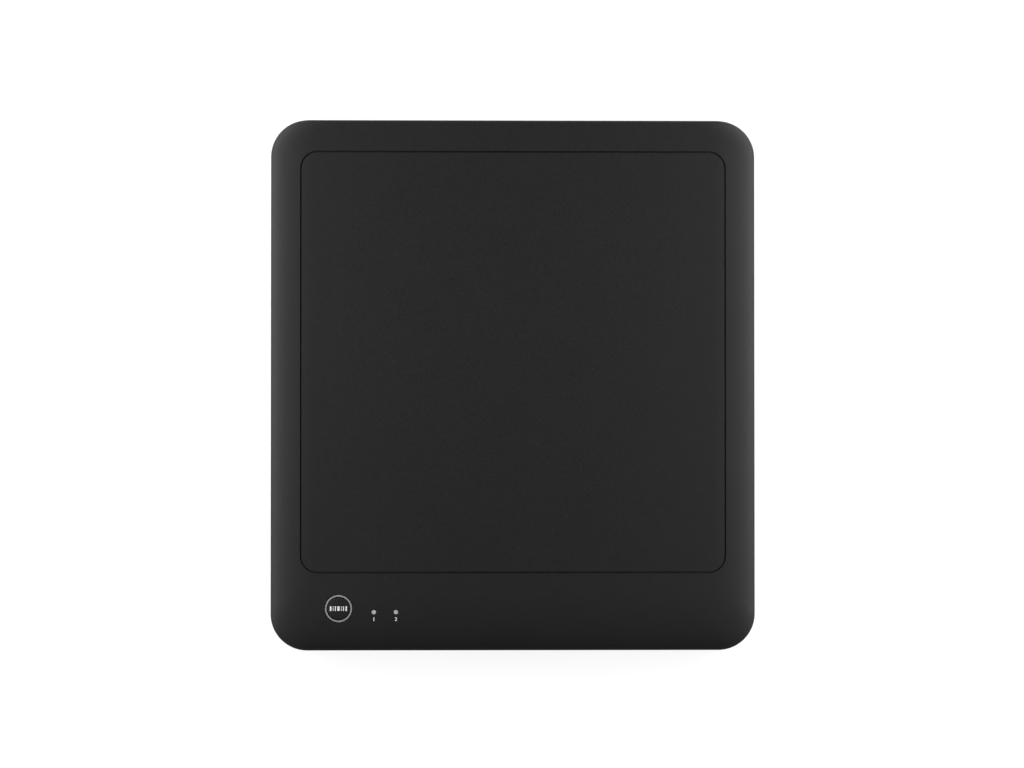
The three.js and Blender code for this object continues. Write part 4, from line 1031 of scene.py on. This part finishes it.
class READER_OT_base_cover(Operator):
    """Moulds the base cover: a tray with a tongue, bosses, ribs, foot recesses and socket window"""

    bl_idname = "reader.base_cover"
    bl_label = "Base cover"

    def execute(self, context):
        housing, base = given("housing"), given("base")
        floor_z, seam_z, tongue_z = housing.floor_z, housing.seam_height, housing.tongue_z
        cover = self.tray("base_cover_moulding", 0, 0, seam_z)
        inset = housing.wall - housing.lip_wall
        weld(cover, plan_block("tongue", inset, seam_z - OVERRUN, tongue_z))
        cut(cover, self.tray("hollow", housing.wall, housing.floor_wall, tongue_z + OVERRUN))

        corners = middles(("plate_screw_1", "plate_screw_4"))
        weld_ribs(cover, *corners, 5, base.rib, floor_z - OVERRUN, floor_z + base.rib_height)
        self.add_bay(cover, floor_z)
        weld(cover, *self.bosses(floor_z - OVERRUN))
        weld(cover, *self.pins(floor_z))
        cut(cover, *self.sunk_holes())
        cut(cover, *self.through_holes())
        cut(cover, self.label_recess())
        cut(cover, self.socket_window())
        self.soften_edges(cover)
        finished(cover, "housing", "base_cover")
        return {"FINISHED"}

    def tray(self, name, inset, rise, high_z):
        """A block with the tray's plan and rounded lower edge, drawn in and up."""
        housing = given("housing")
        turn_z = housing.stand + housing.base_round_height
        piece = plan_block(name, inset, turn_z, high_z)
        end = plan(housing.base_round)
        shrink = housing.base_round - inset
        with editing(piece, "FACE"):
            pick_end(piece, -1)
            crown(plan(inset), end, shrink, housing.base_round_height - rise, 8)
        return piece

    def add_bay(self, cover, floor_z):
        """Stands a low wall with a slot round the battery cell, and clears the ribs in it."""
        base = given("base")
        spot = Spot("battery_cell")
        wall_z = floor_z + base.bay_height
        top_z = wall_z + OVERRUN
        outer = base.bay_gap + base.bay_wall
        weld(cover, block("bay", *grown("battery_cell", outer, floor_z - OVERRUN, wall_z)))
        cut(cover, block("room", *grown("battery_cell", base.bay_gap, floor_z, top_z)))
        low_x, high_x = spot.middle.x - base.bay_slot / 2, spot.middle.x + base.bay_slot / 2
        front = spot.low.y - outer - OVERRUN
        cut(cover, block("slot", (low_x, front, floor_z), (high_x, spot.low.y, top_z)))

    def bosses(self, low_z):
        """Bosses for the cover screws and the small screws, and posts for the charge board."""
        base, fit = given("base"), given("controls").fit

        def under(node):
            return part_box(node)[0].z - fit

        radius = Spot(COVER_SCREWS[0]).half.x + fit + base.boss_wall
        made = rods("boss", middles(COVER_SCREWS), radius, low_z, under("top_cover"))
        radius = base.small_screw_radius + fit + base.small_boss_wall
        for held, screws in SMALL_SCREWS.items():
            made += rods("boss", middles(screws), radius, low_z, under(held))
        posts = rods("post", self.post_places(), base.post_radius, low_z, under("charge_board"))
        return made + posts

    def post_places(self):
        """Places of the charge board's posts, near its rear left and front right corners."""
        inset = given("base").post_inset
        low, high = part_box("charge_board")
        return [
            Vector((low.x + inset, high.y - inset, 0)),
            Vector((high.x - inset, low.y + inset, 0)),
        ]

    def pins(self, floor_z):
        """The pins on the posts, each with a rounded end."""
        base, places = given("base"), self.post_places()
        top_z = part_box("charge_board")[1].z + base.pin_head
        bend = base.pin_radius / 2
        end = arc(base.pin_radius - bend, top_z - bend, bend, 0, 90)
        return spread(turned("pin", places[0], [(base.pin_radius, floor_z), *end], 32), places)

    def sunk_holes(self):
        """Recesses in the underside for the screw heads and the feet."""
        stand, fit = given("housing").stand, given("controls").fit
        low_z, seat_z = stand - OVERRUN, stand + given("base").screw_hole
        screw, foot = Spot(COVER_SCREWS[0]), Spot(FEET[0])
        heads = rods("sunk", middles(COVER_SCREWS), screw.half.x + fit, low_z, seat_z, 48)
        feet = rods("recess", middles(FEET), foot.half.x + fit, low_z, foot.high.z + fit, 64)
        return heads + feet

    def through_holes(self):
        """Holes for the cover screws' shanks, and pilots for the small screws."""
        base, fit = given("base"), given("controls").fit
        low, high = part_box(COVER_SCREWS[0])
        made = rods("shank", middles(COVER_SCREWS), base.screw_radius + fit, low.z, high.z)
        radius = base.small_screw_radius + fit
        for screws in SMALL_SCREWS.values():
            low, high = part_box(screws[0])
            made += rods("pilot", middles(screws), radius, low.z - fit, high.z)
        return made

    def label_recess(self):
        """The shallow blank recess in the middle of the underside."""
        housing = given("housing")
        low_z, high_z = housing.stand - OVERRUN, housing.stand + housing.label_sink
        x, y = housing.label_width / 2, housing.label_depth / 2
        return rounded_block("label", (-x, -y, low_z), (x, y, high_z), housing.wall, 8)

    def socket_window(self):
        """The fully round window in the rear wall."""
        fit = given("controls").fit
        low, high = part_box("charge_socket_shell")
        radius = ((high.z - low.z) / 2 + fit) * FULL_ROUND
        start = (low.x - fit, HIGH.y - given("housing").wall - OVERRUN, low.z - fit)
        end = (high.x + fit, HIGH.y + OVERRUN, high.z + fit)
        return rounded_block("window", start, end, radius, 16, 1)

    def soften_edges(self, cover):
        """Rounds the outer rim, the holes in the underside and the socket's window."""
        housing = given("housing")
        seam_z = housing.seam_height
        inset = (housing.wall - housing.lip_wall) / 2
        low_x, low_y, high_x, high_y = plan(inset)
        radius = housing.corner_radius - inset
        socket_x = Spot("charge_socket_shell").half.x + housing.wall

        def at_rim(point):
            away_x = max(low_x + radius - point.x, point.x - high_x + radius, 0)
            away_y = max(low_y + radius - point.y, point.y - high_y + radius, 0)
            return abs(point.z - seam_z) < HAIR and math.hypot(away_x, away_y) > radius

        def underneath(point):
            return abs(point.z - housing.stand) < HAIR

        def at_window(point):
            below = point.z < seam_z - HAIR
            return below and point.y > HIGH.y - HAIR and abs(point.x) < socket_x

        for test in (at_rim, underneath, at_window):
            soften(cover, test, housing.softness, 2)


class READER_OT_feet(Operator):
    """Moulds the four rubber feet"""

    bl_idname = "reader.feet"
    bl_label = "Feet"

    def execute(self, context):
        spot = Spot(FEET[0])
        radius = spot.half.y
        edge = given("base").foot_edge
        ease = edge / 3
        profile = [
            *arc(radius - edge, spot.low.z + edge, edge, -90, 0, 6),
            *arc(radius - ease, spot.high.z - ease, ease, 0, 90, 3),
        ]
        finished_alike(turned("foot", spot.middle, profile, 72), "_rubber", "rubber", FEET)
        return {"FINISHED"}


class READER_OT_cover_screws(Operator):
    """Turns the six cover screws, each with a crossed recess in its head and a thread"""

    bl_idname = "reader.cover_screws"
    bl_label = "Cover screws"

    def execute(self, context):
        spot = Spot(COVER_SCREWS[0])
        screw = turned("screw", spot.middle, self.profile(spot), 48)
        cut(screw, self.recess(spot, 0))
        cut(screw, self.recess(spot, 1))
        finished_alike(screw, "_turned", "screw_steel", COVER_SCREWS)
        return {"FINISHED"}

    def profile(self, spot):
        """Domed head, threaded shank and blunt point, from the head up."""
        base, low_z, head = given("base"), spot.low.z, spot.half.x
        shank, pitch = base.screw_radius, base.thread_pitch
        root = shank * base.thread_root
        seat_z = given("housing").stand + base.screw_hole - given("controls").fit
        point_z = spot.high.z - base.screw_point
        rise = (seat_z - low_z) * base.head_dome
        turns = [QUARTER * step / 6 for step in range(2, 7)]
        dome = [(head * math.sin(turn), low_z + rise * (1 - math.cos(turn))) for turn in turns]
        points = [(head * base.head_flat, low_z), *dome, (head, seat_z), (root, seat_z)]
        height = seat_z + pitch
        while height + pitch < point_z:
            points += [(root + (shank - root) * out, height + pitch * up) for out, up in THREAD]
            height += pitch
        return [*points, (root, point_z), (root * base.point_flat, spot.high.z)]

    def recess(self, spot, way):
        """One bar of the crossed recess, narrower at its depth."""
        base = given("base")
        half = Vector((base.cross_width, base.cross_width, 0)) * spot.half.x
        half[way] = base.cross_reach * spot.half.x
        low, high = spot.middle - half, spot.middle + half
        low.z, high.z = spot.low.z - OVERRUN, spot.low.z + base.cross_depth
        bar = block("bar", low, high)
        with editing(bar, "FACE"):
            pick_end(bar, 1)
            centre = (spot.middle.x, spot.middle.y, high.z)
            taper = base.cross_taper
            bpy.ops.transform.resize(value=(taper, taper, 1), center_override=centre)
        return bar


class READER_OT_light_ring(Operator):
    """Moulds the milky ring round the scan key, with its flange, skirt and two legs"""

    bl_idname = "reader.light_ring"
    bl_label = "Light ring"

    def execute(self, context):
        controls = given("controls")
        spot = Spot("scan_light_ring")
        flange = spot.half.x
        outer = flange - controls.ring_reach
        inner = outer - controls.ring_width
        skirt = flange - controls.fit
        room = skirt - controls.ring_skirt
        flange_low, flange_top = flange_heights()
        skirt_low = flange_low - controls.skirt_height
        outside = [
            (skirt, skirt_low),
            (skirt, flange_low),
            (flange, flange_low),
            (flange, flange_top),
            (outer, flange_top),
            (outer, spot.high.z + OVERRUN),
        ]
        inside = [
            (room, skirt_low - OVERRUN),
            (room, flange_low),
            (inner, flange_low),
            (inner, spot.high.z + 2 * OVERRUN),
        ]
        ring = turned("scan_light_ring_moulding", spot.middle, outside, 128)
        cut(ring, turned("hollow", spot.middle, inside, 128))
        trim_to_crown(ring, controls.flush)
        rim_z = spot.high.z - 2 * OVERRUN
        soften(ring, lambda point: point.z > rim_z, controls.guide_edge, 4)
        weld(ring, *self.legs(spot, flange_low, skirt - controls.ring_skirt / 2))
        finished(ring, "milky", "scan_light_ring", finish="ring")
        return {"FINISHED"}

    def legs(self, spot, flange_low, radius):
        """Two legs that reach from inside the flange down to the ring's lights."""
        controls = given("controls")
        half = Vector((controls.leg_wall, controls.leg_width, 0)) / 2
        places = [spot.middle + Vector((side * radius, 0, 0)) for side in (-1, 1)]
        low, high = places[0] - half, places[0] + half
        low.z, high.z = spot.low.z, flange_low + controls.flange_height / 2
        return spread(block("leg", low, high), places)


class READER_OT_scan_key(Operator):
    """Moulds the domed scan key, with its stop flange and stem"""

    bl_idname = "reader.scan_key"
    bl_label = "Scan key"

    def execute(self, context):
        controls = given("controls")
        spot = Spot("scan_key")
        around = controls.ring_reach + controls.ring_width + controls.trim
        cap = Spot("scan_light_ring").half.x - around
        flange = spot.half.x
        flange_top = flange_heights()[0] - controls.slack
        flange_low = flange_top - controls.key_flange
        bend = controls.key_edge
        rim = cap - bend
        steps = 12
        outwards = [1 - step / steps for step in range(1, steps)]
        profile = [
            (controls.key_stem, spot.low.z),
            (controls.key_stem, flange_low),
            (flange, flange_low),
            (flange, flange_top),
            (cap, flange_top),
            *arc(rim, spot.high.z - bend, bend, 0, 90),
            *((rim * out, spot.high.z + controls.key_dome * (1 - out**2)) for out in outwards),
        ]
        key = turned("scan_key_cap", spot.middle, profile, 96)
        with editing(key, "VERT"):
            pick(key, "verts", lambda vert: vert.co.z > flange_top + OVERRUN)
            centre = (spot.middle.x, spot.middle.y, spot.high.z)
            turn = -controls.key_lean
            bpy.ops.transform.rotate(value=turn, orient_axis="X", center_override=centre)
            bpy.ops.transform.translate(value=(0, 0, -controls.key_sink))
        finished(key, "housing", "scan_key", body="key")
        return {"FINISHED"}


class READER_OT_light_pipes(Operator):
    """Moulds the two milky light pipes whose ends show as small round windows"""

    bl_idname = "reader.light_pipes"
    bl_label = "Light pipes"

    def execute(self, context):
        controls = given("controls")
        spot = Spot(LIGHT_PIPES[0])
        low_z, high_z = spot.low.z, spot.high.z
        flange = spot.half.y
        mouth = flange - controls.pipe_reach
        shaft = mouth + controls.pipe_shaft
        ease = controls.guide_edge
        flange_low, flange_top = flange_heights()
        profile = [
            (shaft - ease, low_z),
            (shaft, low_z + ease),
            (shaft, flange_low),
            (flange, flange_low),
            (flange, flange_top),
            (mouth, flange_top),
            (mouth, high_z + OVERRUN),
        ]
        pipe = turned("pipe", spot.middle, profile)
        trim_to_crown(pipe, controls.flush)
        soften(pipe, lambda point: point.z > high_z - OVERRUN, ease, 4)
        finished_alike(pipe, "_moulding", "milky", LIGHT_PIPES)
        return {"FINISHED"}


class READER_OT_charge_socket(Operator):
    """Draws the charging socket's shell, its tongue and the tongue's contacts"""

    bl_idname = "reader.charge_socket"
    bl_label = "Charging socket"

    def execute(self, context):
        base = given("base")
        wall = base.socket_wall
        low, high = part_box("charge_socket_shell")
        half = (high.z - low.z) / 2
        shell = rounded_block("charge_socket_drawn", low, high, half * FULL_ROUND, 16, 1)
        start = low + Vector((wall, wall, wall))
        end = high + Vector((-wall, OVERRUN, -wall))
        cut(shell, rounded_block("bore", start, end, (half - wall) * FULL_ROUND, 16, 1))
        soften(shell, lambda point: point.y > high.y - HAIR, wall * base.socket_lip, 2)
        finished(shell, "tinned_steel", "charge_socket_shell")
        self.add_tongue()
        return {"FINISHED"}

    def add_tongue(self):
        """The black tongue on its root, with six gilt contacts above and six below."""
        base = given("base")
        spot = Spot("charge_socket_tongue")
        low, high, middle_z = spot.low, spot.high, spot.middle.z
        half = base.blade_height / 2
        root_y = low.y + base.blade_root
        root = block("charge_socket_insert", low, (high.x, root_y, high.z))
        blade = block("blade", (low.x, low.y, middle_z - half), (high.x, high.y, middle_z + half))
        soften(blade, lambda point: point.y > high.y - HAIR, half / 2, 2)
        weld(root, blade)
        finished(root, "chip", "charge_socket_tongue")

        count = 6
        pitch = (high.x - low.x) / (count + 1)
        thick = base.contact_height
        places = [
            Vector((low.x + pitch * number, 0, middle_z + side * half))
            for side in (-1, 1)
            for number in range(1, count + 1)
        ]
        x, _, z = places[0]
        end_y = high.y - base.blade_height
        strip = block("strip", (x - pitch / 4, root_y, z - thick), (x + pitch / 4, end_y, z + thick))
        soften(strip, lambda point: True, thick / 3, 1)
        finished(merged(spread(strip, places), "charge_socket_contacts"), "brass")


class READER_OT_printed_marks(Operator):
    """Prints a row of plain bars on the scan key, and the numbers 1 and 2 under the light windows"""

    bl_idname = "reader.printed_marks"
    bl_label = "Printed marks"

    def execute(self, context):
        self.print_bars()
        for number, node in enumerate(LIGHT_PIPES, 1):
            self.print_number(number, Spot(node).middle)
        return {"FINISHED"}

    def print_bars(self):
        """Bars of unlike widths, laid on the key's domed top."""
        controls = given("controls")
        middle = Spot("scan_key").middle
        widths = (3, 1, 2, 4, 1, 2, 3)
        gap = controls.bar_gap
        unit = controls.mark_width / (sum(widths) + (len(widths) - 1) * gap)
        x = middle.x - controls.mark_width / 2
        bars = []
        for width in widths:
            bpy.ops.object.select_all(action="DESELECT")
            centre = (x + unit * width / 2, middle.y, TOP)
            bpy.ops.mesh.primitive_plane_add(size=1, location=centre)
            bpy.context.object.scale = (unit * width, controls.mark_height, 1)
            bars.append(added("bar"))
            with editing(bars[-1], "FACE", everything=True):
                bpy.ops.mesh.subdivide(number_cuts=6)
            x += unit * (width + gap)
        self.lay(merged(bars, "scan_key_bars"), "scan_key_cap", "key")

    def print_number(self, number, middle):
        """One number, laid on the top cover under its light window."""
        controls = given("controls")
        bpy.ops.object.select_all(action="DESELECT")
        foot = middle.y - controls.number_drop - controls.number_height
        bpy.ops.object.text_add(location=(middle.x, foot, TOP))
        text = bpy.context.object.data
        text.body = str(number)
        text.align_x = "CENTER"
        text.size = controls.number_height * FONT_SIZE
        text.offset = controls.number_bold
        text.resolution_u = 8
        bpy.ops.object.convert(target="MESH")
        self.lay(added(f"light_number_{number}"), "top_cover_moulding", "housing")

    def lay(self, sheet, under, body):
        """Drops a flat sheet onto the piece under it, and gives it the thickness of print."""
        thickness = given("controls").print_height
        gap = thickness / 6
        apply_modifier(
            sheet,
            "SHRINKWRAP",
            target=bpy.data.objects[under],
            wrap_method="PROJECT",
            use_project_z=True,
            use_negative_direction=True,
            use_positive_direction=False,
            offset=gap,
        )
        with editing(sheet, "FACE", everything=True):
            bpy.ops.mesh.remove_doubles(threshold=HAIR)
            bpy.ops.mesh.extrude_region_move(TRANSFORM_OT_translate={"value": (0, 0, thickness)})
        finished(sheet, "nylon", body=body, finish="ink", angle=50)


class READER_OT_inner_parts(Operator):
    """Gives the pieces inside the housing their finishes"""

    bl_idname = "reader.inner_parts"
    bl_label = "Inner parts"

    def execute(self, context):
        for row in frame["record"]["subparts"]:
            node = frame["nodes"][row["node"]]
            node.data.materials.clear()
            node.data.materials.append(material_of(row["material_slot"]))
        return {"FINISHED"}


class READER_OT_studio(Operator):
    """Lays the pale floor, hangs the lamps and sets up the camera"""

    bl_idname = "reader.studio"
    bl_label = "Studio"

    def execute(self, context):
        studio = given("studio")
        self.lay_floor(studio)
        self.hang_lamps(studio)
        self.light_world(studio)
        self.set_camera(studio)
        context.scene.view_settings.view_transform = "Standard"
        return {"FINISHED"}

    def lay_floor(self, studio):
        """A plain pale floor that the camera sees as white, but for the reader's soft shadow."""
        bpy.ops.object.select_all(action="DESELECT")
        bpy.ops.mesh.primitive_plane_add(size=studio.floor_size, location=(0, 0, -HAIR))
        floor = added("studio_floor")
        sockets = {"Specular IOR Level": 0, "Roughness": 1, "Emission Color": (1, 1, 1, 1)}
        finish = Finish("pale_floor", sockets)
        tree = finish.tree
        base = given("finishes").floor
        paler = [part * 1.01 for part in base]
        lit = finish.mix(finish.between(finish.noise(3, 3), 0, 1), base, paler)
        to_camera = finish.add("LightPath").outputs["Is Camera Ray"]
        seen = finish.between(to_camera, 1, studio.floor_light, 0, 1)
        dimmed = finish.add("VectorMath", {0: lit, "Scale": seen}, operation="SCALE").outputs[0]
        finish.feed("Base Color", dimmed)
        away = finish.add("VectorMath", {0: finish.place}, operation="LENGTH").outputs["Value"]
        white = finish.between(away, studio.floor_glow, 1, studio.glow_start, studio.glow_end)
        pale = finish.between(away, 0, 1, studio.gloss_start, studio.gloss_end)
        for_gloss = combined(tree, "MULTIPLY", shiny_rays(tree), pale)
        for_camera = combined(tree, "MULTIPLY", to_camera, white)
        finish.feed("Emission Strength", combined(tree, "MAXIMUM", for_gloss, for_camera))
        floor.data.materials.append(finish.material)

    def hang_lamps(self, studio):
        """A long soft lamp low at each side."""
        for name, side in (("left_lamp", -1), ("right_lamp", 1)):
            data = bpy.data.lights.new(name, "AREA")
            data.shape = "RECTANGLE"
            data.size, data.size_y = studio.lamp_height, studio.lamp_length
            data.energy = studio.side_light
            lamp = bpy.data.objects.new(name, data)
            lamp.location = Vector(studio.lamp_place) * Vector((side, 1, 1))
            lamp.rotation_euler = (-lamp.location).to_track_quat("-Z", "Z").to_euler()
            lamp.visible_camera = False
            bpy.context.scene.collection.objects.link(lamp)

    def light_world(self, studio):
        """A dim even surround, white to the camera, and to gloss white only near the floor."""
        world = bpy.data.worlds.new("studio_world")
        world.use_nodes = True
        bpy.context.scene.world = world
        tree = world.node_tree
        way = add_node(tree, "TexCoord").outputs["Generated"]
        height = add_node(tree, "SeparateXYZ", {"Vector": way}).outputs["Z"]
        # Gloss sees the surround fade out between these heights, as sines of the angle.
        fade = {"From Min": 0.02, "From Max": 0.2, "To Min": studio.horizon, "To Max": 0}
        sky = add_node(tree, "MapRange", {"Value": height, **fade}).outputs["Result"]
        inputs = {0: shiny_rays(tree), 2: studio.fill, 3: sky}
        strength = add_node(tree, "Mix", inputs).outputs[0]
        to_camera = add_node(tree, "LightPath").outputs["Is Camera Ray"]
        strength = add_node(tree, "Mix", {0: to_camera, 2: strength, 3: 1}).outputs[0]
        surround = tree.nodes["Background"]
        surround.inputs["Color"].default_value = (1, 1, 1, 1)
        tree.links.new(strength, surround.inputs["Strength"])

    def set_camera(self, studio):
        """Looks down on the reader, upright in the picture, from a little to its front left."""
        data = bpy.data.cameras.new("camera")
        data.lens = data.sensor_width * studio.distance / studio.field
        tilt, pan = studio.tilt, studio.pan
        level = math.cos(tilt)
        back = Vector((-math.sin(pan) * level, -math.sin(tilt), math.cos(pan) * level))
        right = Vector((0, 1, 0)).cross(back).normalized()
        up = back.cross(right)
        camera = bpy.data.objects.new("camera", data)
        camera.location = Vector(studio.aim) + back * studio.distance
        camera.rotation_euler = Matrix((right, up, back)).transposed().to_euler()
        bpy.context.scene.collection.objects.link(camera)
        bpy.context.scene.camera = camera


class READER_PT_panel(Panel):
    """Lists the reader's pieces and their sizes"""

    bl_idname = "READER_PT_panel"
    bl_label = "Desktop RFID reader"
    bl_space_type = "VIEW_3D"
    bl_region_type = "UI"
    bl_category = "Reader"

    def draw(self, context):
        for piece in OPERATORS:
            self.layout.operator(piece.bl_idname)
        for name, group in SETTINGS.items():
            box = self.layout.box()
            box.label(text=group.__doc__)
            for key in group.__annotations__:
                box.prop(getattr(context.scene, name), key)


OPERATORS = (
    READER_OT_top_cover,
    READER_OT_antenna_panel,
    READER_OT_base_cover,
    READER_OT_feet,
    READER_OT_cover_screws,
    READER_OT_light_ring,
    READER_OT_scan_key,
    READER_OT_light_pipes,
    READER_OT_charge_socket,
    READER_OT_printed_marks,
    READER_OT_inner_parts,
    READER_OT_studio,
)


def register():
    for group in (*SETTINGS.values(), *OPERATORS, READER_PT_panel):
        bpy.utils.register_class(group)
    for name, group in SETTINGS.items():
        setattr(bpy.types.Scene, name, PointerProperty(type=group))


def unregister():
    for name in SETTINGS:
        delattr(bpy.types.Scene, name)
    for group in reversed((*SETTINGS.values(), *OPERATORS, READER_PT_panel)):
        bpy.utils.unregister_class(group)


def main():
    register()
    bpy.ops.object.select_all(action="DESELECT")
    bpy.ops.reader.top_cover()
    bpy.ops.reader.antenna_panel()
    bpy.ops.reader.base_cover()
    bpy.ops.reader.feet()
    bpy.ops.reader.cover_screws()
    bpy.ops.reader.light_ring()
    bpy.ops.reader.scan_key()
    bpy.ops.reader.light_pipes()
    bpy.ops.reader.charge_socket()
    bpy.ops.reader.printed_marks()
    bpy.ops.reader.inner_parts()
    bpy.ops.reader.studio()


if __name__ == "__main__":
    main()
